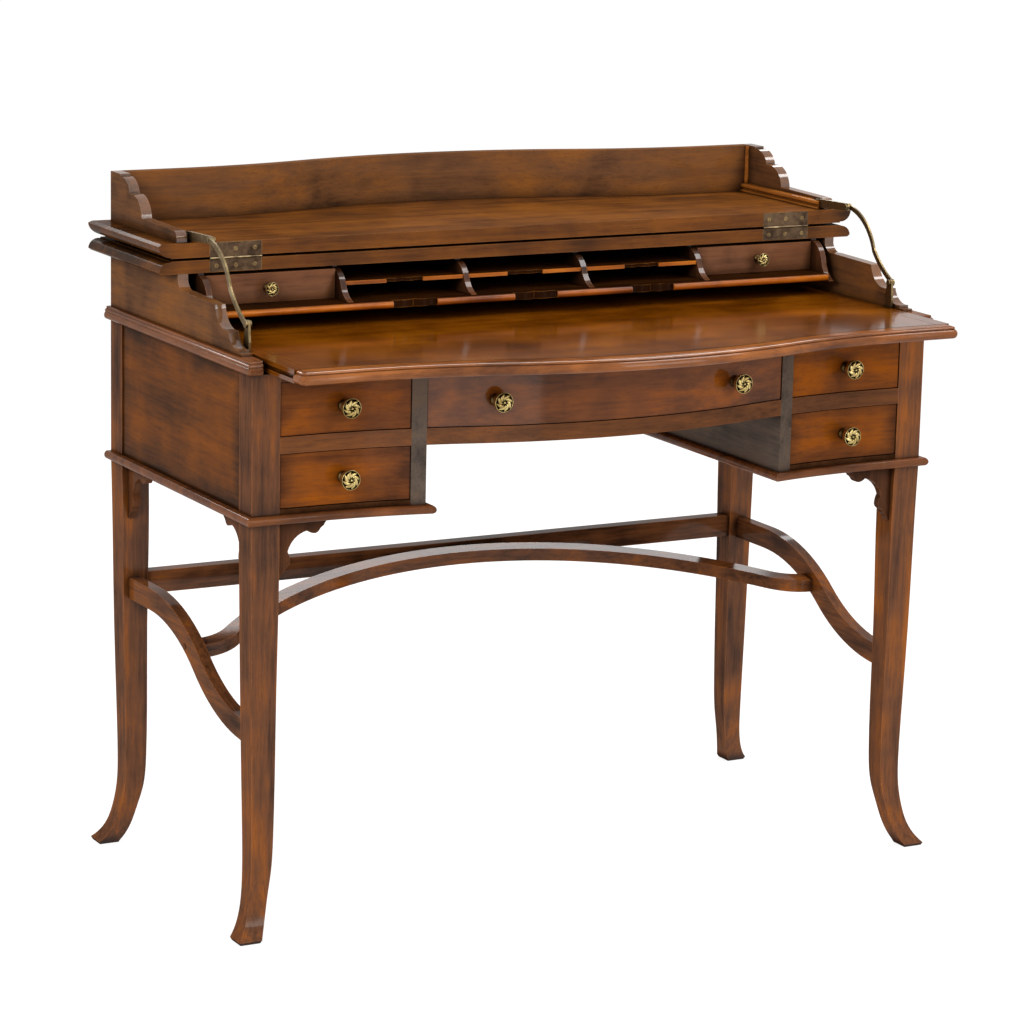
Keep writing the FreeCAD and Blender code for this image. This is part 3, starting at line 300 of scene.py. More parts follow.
def make_figure_group():
    """Mahogany under old polish: fine grain, a slow ribbon and soft clouds of dark and gold."""
    tree, graph, given, result = new_group(
        "mahogany_figure",
        [("Vector", "Grain Way", (1, 1, 1)), ("Vector", "Shift", (0, 0, 0)),
         ("Color", "Deep", (0, 0, 0, 1)), ("Color", "Warm", (0, 0, 0, 1)),
         ("Color", "Bright", (0, 0, 0, 1)), ("Float", "Clouds", 1.0), ("Float", "Streaks", 1.0),
         ("Float", "Lift", 0.0)],
        [("Color", "Color"), ("Float", "Pores"), ("Float", "Patchy")])
    place = graph.vector("ADD", graph.place(), given.outputs["Shift"]).outputs[0]
    along = graph.vector("MULTIPLY", place, given.outputs["Grain Way"]).outputs[0]
    grain = graph.noise(along, scale=230.0, detail=3.0, rough=0.6)
    ribbon = graph.noise(along, scale=46.0, detail=2.0, rough=0.5, bend=0.5)
    mottle = graph.noise(place, scale=24.0, detail=3.0, rough=0.6, bend=0.3)
    cloud = graph.noise(place, scale=8.5, detail=2.0, rough=0.5, bend=0.4)
    soft = graph.about_zero(graph.shares(cloud, mottle, 0.72), given.outputs["Clouds"])
    lines = graph.about_zero(graph.shares(ribbon, grain, 0.6), given.outputs["Streaks"])
    tone = graph.math("ADD", soft, lines)
    tone = graph.math("ADD", tone, graph.math("ADD", given.outputs["Lift"], 0.5))
    to_warm = graph.spread(tone, 0.0, 0.5)
    colour = graph.blend(to_warm, given.outputs["Deep"], given.outputs["Warm"])
    to_bright = graph.spread(tone, 0.5, 1.0)
    colour = graph.blend(to_bright, colour, given.outputs["Bright"])
    pores = graph.spread(graph.noise(along, scale=620.0, detail=2.0, rough=0.6), 0.54, 0.68)
    colour = graph.blend(graph.math("MULTIPLY", pores, pore_darkness), colour,
                         given.outputs["Deep"])
    tree.links.new(colour, result.inputs["Color"])
    tree.links.new(pores, result.inputs["Pores"])
    tree.links.new(graph.spread(tone, 0.1, 0.9), result.inputs["Patchy"])
    return tree


def make_wear_and_shade_group():
    """Rubbed arrises where nothing lies beside them, and old wax, dirt and painted shade in the
    corners.
    """
    tree, graph, given, result = new_group(
        "handling_wear_and_painted_shade", [("Float", "Arris", 0.002), ("Float", "Corner", 0.02)],
        [("Float", "Rubbed"), ("Float", "Grime and Shade")])
    true_normal = graph.add("NewGeometry").outputs["Normal"]
    eased = graph.add("Bevel", {"samples": wear_and_shade_samples}, Radius=given.outputs["Arris"]).outputs[0]
    agree = graph.vector("DOT_PRODUCT", true_normal, eased).outputs["Value"]
    edge = graph.spread(graph.math("SUBTRACT", 1.0, agree), 0.015, 0.16)
    beside = graph.add("AmbientOcclusion", {"samples": wear_and_shade_samples}, Distance=groove_reach,
                       Normal=eased).outputs["AO"]
    edge = graph.math("MULTIPLY", edge, graph.spread(beside, 0.80, 0.98))
    patches = graph.noise(graph.place(), scale=26.0, detail=4.0, rough=0.6)
    broken = graph.spread(patches, 0.34, 0.60)
    # Occlusion darkens corners and recesses: partly old dirt, partly painted shade.
    corner = graph.add("AmbientOcclusion", {"samples": wear_and_shade_samples},
                       Distance=given.outputs["Corner"]).outputs["AO"]
    tree.links.new(graph.math("MULTIPLY", edge, broken), result.inputs["Rubbed"])
    tree.links.new(graph.spread(corner, 0.92, 0.35), result.inputs["Grime and Shade"])
    return tree


def make_border_group():
    """How near a point lies to the edges of its board: 1 at the edge, 0 at Width and beyond."""
    tree, graph, given, result = new_group(
        "darker_border",
        [("Vector", "Low", (0, 0, 0)), ("Vector", "High", (0, 0, 0)), ("Float", "Width", 0.04)],
        [("Float", "Border")])
    place = graph.place()
    over_low = graph.vector("SUBTRACT", place, given.outputs["Low"]).outputs[0]
    under_high = graph.vector("SUBTRACT", given.outputs["High"], place).outputs[0]
    nearest = graph.vector("MINIMUM", over_low, under_high).outputs[0]
    x, y, z = graph.add("SeparateXYZ", Vector=nearest).outputs
    least = graph.math("MINIMUM", graph.math("MINIMUM", x, y), z)
    share = graph.math("DIVIDE", least, given.outputs["Width"])
    waver = graph.noise(place, scale=9.0, detail=3.0, rough=0.6)
    share = graph.math("ADD", share, graph.spread(waver, 0.3, 0.7, -0.3, 0.3))
    fade = graph.add("MapRange", {"clamp": True, "interpolation_type": "SMOOTHSTEP"},
                     i0=share, i1=-0.1, i2=1.0, i3=1.0, i4=0.0).outputs[0]
    tree.links.new(fade, result.inputs["Border"])
    return tree


figure_group = make_figure_group()
wear_and_shade_group = make_wear_and_shade_group()
border_group = make_border_group()


def colour_of(red, green, blue):
    """A colour as it shows on a screen, 0 to 255, to the renderer's own scale."""
    scaled = []
    for value in (red, green, blue):
        share = value / 255
        scaled.append(share / 12.92 if share <= 0.04045 else ((share + 0.055) / 1.055) ** 2.4)
    return (*scaled, 1.0)


# ---------------------------------------------------------------- finishes
grain_ways = {"x": (0.07, 1.0, 1.0), "y": (1.0, 0.07, 1.0), "z": (1.0, 1.0, 0.07)}
# The near-black of old wax and dirt, which also serves as painted shade in corners and pigeonholes.
old_wax_and_shade = colour_of(22, 11, 5)
wood_arris = 0.0022
border_width = 0.034
border_middle = 0.35
# How dark the pigeonholes are painted, a painted shade, and how much of their rubbed arrises stays
# inside it.
pigeonhole_shade = 0.96
pigeonhole_rub_and_glint = 0.6
# A line along the hinges' knuckles of rubbed brass and painted highlight: its half-width, height
# and tone.
knuckle_line = 0.0014
knuckle_height = 0.8512
knuckle_rub_and_highlight = colour_of(176, 156, 118)


def new_material(name):
    """A new material, a graph to write it with, and its Principled shader."""
    made = bpy.data.materials.new(name)
    made.use_nodes = True
    return made, Graph(made.node_tree), made.node_tree.nodes["Principled BSDF"]


def ease_and_roughen(graph, shader, height, ease, strength, deep, sunk):
    """Rounds the arrises as seen, and lets a height stand out from the surface or sink into it."""
    eased = graph.add("Bevel", {"samples": 4}, Radius=ease).outputs[0]
    bump = graph.add("Bump", {"invert": sunk}, Height=height, Normal=eased, Strength=strength,
                     Distance=deep)
    graph.feed(shader.inputs["Normal"], bump.outputs[0])


def timber(name, way, tones, shift, clouds=1.9, streaks=1.7, gloss=0.26, coat=0.13, corner=0.02,
           grime_and_shade=0.85, rub=0.8, lift=0.0, edge_coat=None, coat_rough=0.09, coat_ior=1.5,
           border=None, depth=None, fade=None):
    """French-polished wood, its grain running along one axis.

    shift: where in the figure the piece is cut from.
    clouds, streaks, lift: how strong the figure is, and how much lighter the whole piece.
    gloss, coat, coat_rough, coat_ior: roughness of the wood, and weight, roughness and depth of
    the polish on it.
    corner, grime_and_shade, rub: how far the dirt and painted shade reach out of a corner, how
    dark they are, and how bare the arrises are.
    edge_coat: the thicker polish on the sawn edges of a board that stands fore and aft.
    border: (low, high, width, strength) of a board that darkens towards its edges.
    depth: (y where it begins, y where it ends) of a piece painted dark as shade inside a
    pigeonhole.
    fade: (axis, start, end, change of tone) of a piece that grows darker along its length.
    """
    made, graph, shader = new_material(name)
    deep, warm, bright, rubbed = (colour_of(*tone) for tone in tones)
    if border:
        low, high, width, strength = border
        edge = graph.add("Group", {"node_tree": border_group}, Low=low, High=high, Width=width)
        middle_lift = lift + strength * border_middle
        lift = graph.spread(edge.outputs["Border"], 0.0, 1.0, middle_lift, lift - strength)
    if fade:
        axis, start, end, change = fade
        lift = graph.spread(graph.along(graph.place(), axis), start, end, lift, lift + change)
    figure = graph.add("Group", {"node_tree": figure_group}, Shift=shift, Deep=deep, Warm=warm,
                       Bright=bright, Clouds=clouds, Streaks=streaks, Lift=lift)
    figure.inputs["Grain Way"].default_value = grain_ways[way]
    wear_and_shade = graph.add("Group", {"node_tree": wear_and_shade_group}, Arris=wood_arris, Corner=corner)
    worn = graph.math("MULTIPLY", wear_and_shade.outputs["Rubbed"], rub)
    # Occlusion darkening: old dirt and painted shade in corners.
    dirt_and_shade = graph.math("MULTIPLY", wear_and_shade.outputs["Grime and Shade"], grime_and_shade)
    if depth:
        start, end = depth
        # Inside a pigeonhole the wood is painted dark, a painted shade.
        inside = graph.spread(graph.along(graph.place(), 1), start, end, 0.0, pigeonhole_shade)
        dirt_and_shade = graph.math("MAXIMUM", dirt_and_shade, inside)
        # Part of the rubbed arris stays bright in that shade, a painted glint on the scallops'
        # rims.
        worn = graph.math("MULTIPLY", worn, graph.spread(inside, 0.0, 1.0, 1.0, pigeonhole_rub_and_glint))
    # Dirt and painted shade take the colour towards the near-black of old wax.
    colour = graph.blend(dirt_and_shade, figure.outputs["Color"], old_wax_and_shade)
    colour = graph.blend(worn, colour, rubbed)
    graph.feed(shader.inputs["Base Color"], colour)
    rough = graph.spread(figure.outputs["Patchy"], 0.0, 1.0, gloss + 0.10, gloss)
    rough = graph.math("ADD", rough, graph.math("MULTIPLY", dirt_and_shade, 0.2))
    graph.feed(shader.inputs["Roughness"], rough)
    polish = graph.spread(dirt_and_shade, 0.1, 0.8, coat, coat * 0.2)
    if edge_coat:
        sideways = graph.along(graph.add("NewGeometry").outputs["Normal"], 0)
        edgewise = graph.spread(graph.math("ABSOLUTE", sideways, 0.0), 0.3, 0.7, edge_coat, 0.0)
        polish = graph.math("MAXIMUM", polish, edgewise)
    graph.feed(shader.inputs["Coat Weight"], polish)
    shader.inputs["Coat Roughness"].default_value = coat_rough
    shader.inputs["Coat IOR"].default_value = coat_ior
    shader.inputs["Specular IOR Level"].default_value = 0.0
    ease_and_roughen(graph, shader, figure.outputs["Pores"], ease=0.0009, strength=0.08,
                     deep=0.0005, sunk=True)
    return made


def aged_brass(name, base, dark, bright, rough, hollow=0.006, edge=0.0009, knuckle_z=None):
    """Brass gone brown in its hollows and rubbed bright where hands touch it.

    base, dark, bright: its clean, stained and rubbed colours.
    hollow, edge: how far the dirt reaches out of a hollow, and how broad a rubbed edge is.
    knuckle_z: the height of a hinge's knuckles, rubbed bright along them with a painted highlight.
    """
    made, graph, shader = new_material(name)
    wear_and_shade = graph.add("Group", {"node_tree": wear_and_shade_group}, Arris=edge, Corner=hollow)
    place = graph.place()
    stain = graph.spread(graph.noise(place, scale=70.0, detail=4.0, rough=0.6), 0.35, 0.65)
    specks = graph.noise(place, scale=420.0, detail=2.0, rough=0.5)
    colour = graph.blend(stain, dark, base)
    dirt_and_shade = graph.math("MULTIPLY", wear_and_shade.outputs["Grime and Shade"], 0.9)
    colour = graph.blend(dirt_and_shade, colour, old_wax_and_shade)
    worn = graph.math("MULTIPLY", wear_and_shade.outputs["Rubbed"], 0.9)
    colour = graph.blend(worn, colour, bright)
    if knuckle_z:
        # Rubbed brass and a painted highlight along the knuckles.
        above = graph.math("SUBTRACT", graph.along(place, 2), knuckle_z)
        away = graph.math("ABSOLUTE", above, 0.0)
        patches = graph.noise(place, scale=85.0, detail=2.0, rough=0.5)
        patches = graph.spread(patches, 0.44, 0.60, 0.1, 0.9)
        line = graph.spread(away, knuckle_line, knuckle_line * 0.5)
        colour = graph.blend(graph.math("MULTIPLY", line, patches), colour, knuckle_rub_and_highlight)
    graph.feed(shader.inputs["Base Color"], colour)
    shader.inputs["Metallic"].default_value = 1.0
    graph.feed(shader.inputs["Roughness"], graph.spread(stain, 0.0, 1.0, rough + 0.18, rough))
    ease_and_roughen(graph, shader, specks, ease=0.0004, strength=0.3, deep=0.0002, sunk=False)
    return made


# Deep, warm, bright and rubbed tones of each kind of surface.
tones_of = {
    "case": ((54, 30, 12), (94, 52, 17), (126, 68, 12), (186, 116, 66)),
    "moulding": ((56, 30, 18), (108, 64, 36), (138, 82, 44), (200, 138, 96)),
    "drawer": ((76, 41, 19), (122, 67, 26), (160, 84, 8), (168, 95, 42)),
    "small": ((88, 56, 40), (126, 82, 56), (142, 94, 60), (170, 104, 58)),
    "rail": ((56, 36, 25), (106, 66, 40), (136, 82, 42), (176, 106, 58)),
    "leg": ((56, 34, 22), (108, 66, 39), (150, 84, 26), (216, 132, 64)),
    "bracket": ((46, 26, 16), (86, 52, 32), (112, 68, 40), (170, 106, 62)),
    "leaf": ((58, 37, 23), (103, 61, 27), (134, 80, 30), (176, 122, 74)),
    "gallery": ((66, 44, 30), (110, 72, 44), (138, 86, 40), (176, 126, 84)),
    "board": ((66, 32, 2), (108, 56, 3), (146, 82, 10), (164, 104, 46)),
    "nosing": ((70, 38, 20), (128, 74, 36), (164, 98, 46), (210, 152, 106)),
    "bead": ((74, 40, 16), (150, 88, 34), (184, 112, 44), (214, 150, 84)),
    "shelf": ((104, 48, 8), (172, 90, 14), (214, 124, 28), (226, 146, 66)),
    "upright": ((50, 28, 18), (92, 54, 32), (120, 74, 44), (190, 130, 90)),
    # The stile's grey-green tones paint in a hazy reflection on dark stained wood.
    "hazed_stile": ((62, 54, 47), (98, 84, 74), (116, 92, 72), (150, 104, 68)),
    "inner": ((40, 24, 13), (78, 48, 28), (104, 66, 42), (130, 88, 58)),
    "lining": ((98, 64, 34), (150, 108, 64), (178, 136, 86), (190, 150, 104)),
}

# Each wooden node: the kind of surface and the way of its grain.
wood_of = {
    "side_panels": ("case", "y"), "front_rails": ("rail", "x"), "inner_sides": ("hazed_stile", "y"),
    "pedestal_bases": ("moulding", "x"), "pedestal_bottoms": ("inner", "y"),
    "top_mouldings": ("moulding", "y"), "upper_back": ("inner", "x"), "back_panels": ("inner", "x"),
    "slide_bearers": ("inner", "y"), "drawer_runners": ("inner", "y"),
    "corner_brackets": ("bracket", "z"), "side_stretchers": ("leg", "y"),
    "cross_stretcher": ("leg", "x"), "back_stretcher": ("leg", "x"),
    "stretcher_pegs": ("leg", "y"), "leg_front_left": ("leg", "z"),
    "leg_front_right": ("leg", "z"), "leg_rear_left": ("leg", "z"), "leg_rear_right": ("leg", "z"),
    "lower_gallery_left": ("gallery", "y"), "lower_gallery_right": ("gallery", "y"),
    "flap_gallery_left": ("gallery", "y"), "flap_gallery_right": ("gallery", "y"),
    "flap_gallery_back": ("gallery", "x"), "flap_beads": ("bead", "y"), "flap_leaf": ("leaf", "x"),
    "top_leaf": ("leaf", "x"), "slide_board": ("board", "x"), "slide_cleats": ("board", "y"),
    "slide_nosing": ("nosing", "x"), "unit_bottom": ("shelf", "x"), "unit_shelves": ("shelf", "x"),
    "unit_uprights": ("upright", "z"), "centre_drawer_front": ("drawer", "x"),
    "centre_drawer_box": ("lining", "y"),
}
for side in ("left", "right"):
    for drawer in ("upper_drawer", "lower_drawer"):
        wood_of[f"{drawer}_{side}_front"] = ("drawer", "x")
        wood_of[f"{drawer}_{side}_box"] = ("lining", "y")
    wood_of[f"small_drawer_{side}_front"] = ("small", "x")
    wood_of[f"small_drawer_{side}_box"] = ("lining", "y")

# How a kind of surface differs from plain polished timber.
habits_of = {
    "board": dict(clouds=2.0, streaks=1.3, gloss=0.24, coat=0.75, coat_rough=0.13),
    "leaf": dict(clouds=1.9, coat=0.2, coat_rough=0.15),
    "gallery": dict(clouds=2.2, coat=0.06, coat_ior=2.0, edge_coat=0.6),
    "moulding": dict(coat=0.32, gloss=0.20, corner=0.0025),
    "nosing": dict(coat=0.45, gloss=0.20, corner=0.003, clouds=2.2, grime_and_shade=0.6),
    "bead": dict(coat=0.10, gloss=0.20, corner=0.008),
    "shelf": dict(coat=0.35, gloss=0.20),
    "upright": dict(coat=0.06, coat_ior=2.0, gloss=0.20, corner=0.03, edge_coat=0.25),
    "leg": dict(streaks=2.3, clouds=1.7, edge_coat=0.35),
    "rail": dict(clouds=1.5, rub=0.5),
    "drawer": dict(clouds=2.0, rub=0.5),
    "inner": dict(coat=0.0, gloss=0.55, rub=0.4, corner=0.06),
    "lining": dict(coat=0.0, gloss=0.60, grime_and_shade=0.6, rub=0.3, clouds=1.2),
    "hazed_stile": dict(rub=0.5),
}

# What sets a single piece apart from its kind.
own_habits = {
    "centre_drawer_front": dict(coat=0.42, lift=0.10),
    "upper_drawer_right_front": dict(lift=0.30),
    "flap_gallery_back": dict(edge_coat=None),
    # The front-left and rear-left legs are painted darker towards their tops, a painted shade.
    "leg_front_left": dict(fade=(2, 0.48, 0.57, -0.22)),
    "leg_front_right": dict(lift=0.06),
    "leg_rear_left": dict(fade=(2, 0.40, 0.55, -0.10)),
    "back_stretcher": dict(lift=-0.25),
    "side_stretchers": dict(lift=-0.16),
}

# Which ways a board darkens towards its edges, x, y and z, and how much.
border_ways = {
    "side_panels": (0, 1, 1, 0.42), "slide_board": (0, 1, 0, 0.25), "flap_leaf": (1, 0, 0, 0.35),
    "top_leaf": (1, 0, 0, 0.3), "flap_gallery_back": (1, 0, 0, 0.3),
    "centre_drawer_front": (1, 0, 1, 0.16), "upper_drawer_left_front": (1, 0, 1, 0.18),
    "upper_drawer_right_front": (1, 0, 1, 0.18), "lower_drawer_left_front": (1, 0, 1, 0.20),
    "lower_drawer_right_front": (1, 0, 1, 0.20),
}
far_off = 10.0

# The y where the pigeonholes' pieces begin and end their painted shade, all behind their front
# edges.
pigeonhole_shade_of = {
    "unit_bottom": (0.0040, 0.0068), "unit_shelves": (0.0380, 0.0408),
    "unit_uprights": (0.020, 0.060), "upper_back": (0.268, 0.267),
}

knob_brass = aged_brass("whirl_knob_brass", colour_of(220, 198, 134), colour_of(158, 134, 80),
                        colour_of(248, 234, 186), rough=0.24, hollow=0.0040, edge=0.0005)
neck_brass = aged_brass("knob_neck_brass", colour_of(120, 98, 60), colour_of(66, 50, 30),
                        colour_of(210, 186, 130), rough=0.30, hollow=0.012)
stay_brass = aged_brass("stay_brass", colour_of(140, 120, 84), colour_of(96, 80, 54),
                        colour_of(214, 196, 150), rough=0.30)
hinge_brass = aged_brass("hinge_plate_brass", colour_of(104, 84, 64), colour_of(64, 50, 40),
                         colour_of(214, 190, 128), rough=0.42, knuckle_z=knuckle_height)
screw_brass = aged_brass("screw_brass", colour_of(150, 126, 84), colour_of(110, 90, 60),
                         colour_of(210, 190, 140), rough=0.30, hollow=0.002, edge=0.0004)

brass_of = {
    "hinge_plates_lower": hinge_brass, "hinge_plates_upper": hinge_brass,
    "stay_brackets": stay_brass, "stay_feet": stay_brass, "stay_left": stay_brass,
    "stay_right": stay_brass,
}


def border_of(name):
    """The box inside which a node darkens towards its edges, open in the ways it does not."""
    if name not in border_ways:
        return None
    *ways, strength = border_ways[name]
    low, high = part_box(name)
    low = [edge if way else -far_off for edge, way in zip(low, ways)]
    high = [edge if way else far_off for edge, way in zip(high, ways)]
    return low, high, border_width, strength


def finish_of(name, order):
    """The finish of a node; the order gives each piece of wood a figure of its own."""
    if name in brass_of:
        return brass_of[name]
    if name.endswith(("_knob", "_knobs")):
        return knob_brass
    kind, way = wood_of[name]
    shift = (0.37 * order, 0.23 * order, 0.11 * order)
    habits = {**habits_of.get(kind, {}), **own_habits.get(name, {})}
    return timber("mahogany_" + name, way, tones_of[kind], shift, border=border_of(name),
                  depth=pigeonhole_shade_of.get(name), **habits)


def dress(thing, finish):
    """Gives every slot of a piece one finish."""
    if not thing.material_slots:
        thing.data.materials.append(finish)
    for slot in thing.material_slots:
        slot.material = finish


for order, name in enumerate(sorted(nodes)):
    dress(nodes[name], finish_of(name, order))


# ---------------------------------------------------------------- whirl knobs
big_knob_height = 0.028
small_knob_height = 0.019
knob_steps = 48
neck_share = 0.46
# Radius and distance out from the drawer, as shares of the knob's radius and height.
knob_profile = [
    (0.0, 0.0), (0.56, 0.0), (0.59, 0.04), (0.54, 0.09), (0.42, 0.13), (0.36, 0.22), (0.36, 0.32),
    (0.44, 0.42), (0.66, 0.50), (0.86, 0.57), (0.93, 0.64), (0.92, 0.70), (0.88, 0.73),
    (0.92, 0.77), (0.98, 0.82), (1.0, 0.865), (0.985, 0.90), (0.955, 0.905), (0.93, 0.88),
    (0.91, 0.82), (0.60, 0.815), (0.28, 0.83), (0.18, 0.84), (0.0, 0.84)]
# The petals and the boss. Starts, lengths, widths and the hub are shares of the knob's radius,
# heights, rises and depths are shares of its height, and the curl is in radians.
petal_count = 8
petal_start = 0.20
petal_length = 0.73
petal_waist = 0.10
petal_swell = 0.20
petal_lean = 1.2
petal_curl = 1.15
petal_hub = 0.40
petal_height = 0.865
petal_rise = 0.035
petal_depth = 0.085
boss_radius = 0.13
boss_height = 0.925


def turn_knob(mesh, profile):
    """Turns a profile of (radius, distance out) pairs about the knob's own axis, -Y."""
    ring = [mesh.verts.new((radius, -out, 0)) for radius, out in profile]
    edges = [mesh.edges.new(pair) for pair in zip(ring, ring[1:])]
    bmesh.ops.spin(mesh, geom=ring + edges, cent=(0, 0, 0), axis=(0, 1, 0), angle=2 * math.pi,
                   steps=knob_steps, use_merge=True, use_duplicate=False)
    bmesh.ops.remove_doubles(mesh, verts=mesh.verts, dist=same_point)


def add_petal(mesh, radius, height, angle):
    """One petal of the whirl: a drop of metal curled in an S from the boss out to the rim."""
    drop = bmesh.ops.create_uvsphere(mesh, u_segments=14, v_segments=10, radius=1.0)["verts"]
    for vert in drop:
        share = (vert.co.x + 1) / 2
        width = petal_waist + petal_swell * math.sin(math.pi * share ** petal_lean)
        across = vert.co.z * radius * width
        reach = radius * (petal_start + petal_length * share)
        sweep = angle + petal_curl * (1 - share) + across / max(reach, radius * petal_hub)
        crest = height * (petal_height + petal_rise * (1 - share))
        out = crest - vert.co.y * petal_depth * height
        vert.co = Vector((reach * math.cos(sweep), -out, reach * math.sin(sweep)))


def make_knob(name, seat, radius, height):
    """A turned knob with a whirl of petals round a boss, standing on the drawer at its seat."""
    mesh = bmesh.new()
    turn_knob(mesh, [(radius * across, height * out) for across, out in knob_profile])
    for index in range(petal_count):
        add_petal(mesh, radius, height, 2 * math.pi * index / petal_count)
    boss = bmesh.ops.create_uvsphere(mesh, u_segments=14, v_segments=8,
                                     radius=radius * boss_radius)["verts"]
    bmesh.ops.translate(mesh, verts=boss, vec=(0, -height * boss_height, 0))
    bmesh.ops.translate(mesh, verts=mesh.verts, vec=seat)
    bmesh.ops.recalc_face_normals(mesh, faces=mesh.faces)
    for face in mesh.faces:
        face.smooth = True
        out = (seat.y - face.calc_center_median().y) / height
        face.material_index = 1 if out < neck_share else 0
    knob = mesh_object(name, mesh)
    knob.data.materials.append(knob_brass)
    knob.data.materials.append(neck_brass)
    return knob


def knob_places(node):
    """The middle of the front of each knob in a node, and their radius."""
    low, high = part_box(node)
    radius = (high[2] - low[2]) / 2
    if node == "centre_drawer_knobs":
        xs = (low[0] + radius, high[0] - radius)
    else:
        xs = ((low[0] + high[0]) / 2,)
    return [(x, low[1], (low[2] + high[2]) / 2) for x in xs], radius


for node in [name for name in nodes if name.endswith(("_knob", "_knobs"))]:
    places, radius = knob_places(node)
    height = small_knob_height if node.startswith("small") else big_knob_height
    body = node.rsplit("_", 1)[0]
    for index, (x, front, z) in enumerate(places):
        seat = Vector((x, front + height, z))
        knob = make_knob(f"{body}_whirl_{index + 1}", seat, radius, height)
        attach(knob, body)
        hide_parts(node)


# ---------------------------------------------------------------- moulded beads of the flap
bead_root = 0.4914
bead_foot = 0.8726
bead_front = 0.0576
bead_back = 0.2654
bead_crown = 0.8845
stay_plate_back = 0.0820
stay_plate_inner = 0.4842
slip_top = 0.9392
slip_size = 0.0050
slip_cut = 0.55 * slip_size
# Across and up, from the lower bead round the hollow to the crown of the upper one.
bead_section = [
    (0.4802, bead_foot), (0.4800, 0.8738), (0.4806, 0.8752), (0.4820, 0.8758), (0.4836, 0.8764),
    (0.4838, 0.8776), (0.4822, 0.8784), (0.4810, 0.8796), (0.4806, 0.8812), (0.4811, 0.8828),
    (0.4822, 0.8839), (0.4840, 0.8844), (bead_root, 0.8844), (bead_root, bead_foot)]


def run_of_bead(mesh, y0, y1):
    """A length of bead along the foot of the gallery, as its vertices."""
    ring = [mesh.verts.new((across, y0, up)) for across, up in bead_section]
    end = mesh.faces.new(ring)
    grown = bmesh.ops.extrude_face_region(mesh, geom=[end], use_keep_orig=True)["geom"]
    moved = [part for part in grown if isinstance(part, bmesh.types.BMVert)]
    bmesh.ops.translate(mesh, verts=moved, vec=(0, y1 - y0, 0))
    return ring + moved


def upright_slip(mesh):
    """The slip where the side of the gallery meets its back, its free arris rounded off."""
    low = Vector((bead_root - slip_size, bead_back - slip_size, bead_crown))
    high = Vector((bead_root, bead_back, slip_top))
    made = block(mesh, low, high)
    middle = (low + high) / 2
    arris = [edge for edge in {edge for vert in made for edge in vert.link_edges}
             if all(vert.co.x < middle.x and vert.co.y < middle.y for vert in edge.verts)]
    bmesh.ops.bevel(mesh, geom=arris, offset=slip_cut, offset_type="OFFSET", segments=3,
                    profile=0.2, affect="EDGES", material=-1)


def make_beads():
    """The beads inside the flap's gallery, cut back where the stays' plates lie."""
    mesh = bmesh.new()
    beside_plate = run_of_bead(mesh, bead_front, stay_plate_back)
    saw_off(mesh, beside_plate, (stay_plate_inner, 0, 0), (1, 0, 0))
    run_of_bead(mesh, stay_plate_back, bead_back)
    upright_slip(mesh)
    add_mirror_half(mesh)
    bmesh.ops.recalc_face_normals(mesh, faces=mesh.faces)
    beads = mesh_object("flap_moulded_beads", mesh)
    dress(beads, nodes["flap_beads"].material_slots[0].material)
    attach(beads, "flap")
    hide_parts("flap_beads")


make_beads()


# ---------------------------------------------------------------- moulded front of the slide
slide_foot = 0.7418
bow_radius = 0.78793
bow_turn = 0.210
bow_depth = 0.057
front_line = -0.28751
side_line = 0.4830
corner_radius = 0.0035
core_end = 0.4800
return_back = -0.2676
front_steps = 70
corner_steps = 6
# Out from the plan line and up from the underside, in millimetres: bead, quirk and fillet.
nosing_lip = [
    (-3.2, 0), (-0.5, 0), (0.0, 0.38), (1.2, 0.30), (2.6, 0.60), (4.2, 1.8), (5.5, 3.9),
    (6.0, 6.4), (5.5, 8.9), (4.2, 10.9), (2.9, 12.0), (1.9, 12.4), (1.4, 12.55), (1.2, 12.75),
    (1.3, 12.95), (1.9, 13.2), (2.1, 14.0), (1.9, 15.0), (1.0, 15.9), (-0.4, 16.15),
    (-3.2, 16.2), (-3.2, 0)]
nosing_core = [
    (-20, 0), (-2.4, 0), (-2.4, 16.7), (-2.7, 17.0), (-18, 17.0), (-18, 16), (-20, 16), (-20, 0)]


def serpentine_point(x):
    """Where the plan line of the slide's front lies at x, and which way it faces."""
    away = abs(x)
    if away < bow_turn:
        drop = math.sqrt(bow_radius ** 2 - away ** 2)
        y = front_line - bow_depth + bow_radius - drop
        slope = x / drop
    else:
        rest = max(2 * bow_turn - away, 0)
        rise = math.sqrt(bow_radius ** 2 - rest ** 2)
        y = front_line - bow_radius + rise
        slope = math.copysign(rest / rise, x)
    return Vector((x, y, 0)), Vector((slope, -1, 0)).normalized()


def front_path(end):
    """The serpentine front from one side to the other."""
    return [serpentine_point(end * index / front_steps)
            for index in range(-front_steps, front_steps + 1)]


def lip_path():
    """The front of the slide and, round each corner, its short returned ends."""
    straight = side_line - corner_radius
    middle = Vector((straight, front_line + corner_radius, 0))
    ends = []
    for index in range(1, corner_steps + 1):
        angle = math.pi / 2 * index / corner_steps
        facing = Vector((math.sin(angle), -math.cos(angle), 0))
        ends.append((middle + facing * corner_radius, facing))
    ends.append((Vector((side_line, return_back, 0)), Vector((1, 0, 0))))
    mirrored = [(Vector((-place.x, place.y, 0)), Vector((-facing.x, facing.y, 0)))
                for place, facing in ends]
    return mirrored[::-1] + front_path(straight) + ends


def make_nosing():
    """The slide's front edge: a moulded lip before a plain core."""
    mesh = bmesh.new()
    carry(mesh, nosing_lip, lip_path(), slide_foot)
    carry(mesh, nosing_core, front_path(core_end), slide_foot)
    bmesh.ops.recalc_face_normals(mesh, faces=mesh.faces)
    nosing = mesh_object("slide_moulded_nosing", mesh)
    dress(nosing, nodes["slide_nosing"].material_slots[0].material)
    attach(nosing, "writing_slide")
    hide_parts("slide_nosing")


make_nosing()


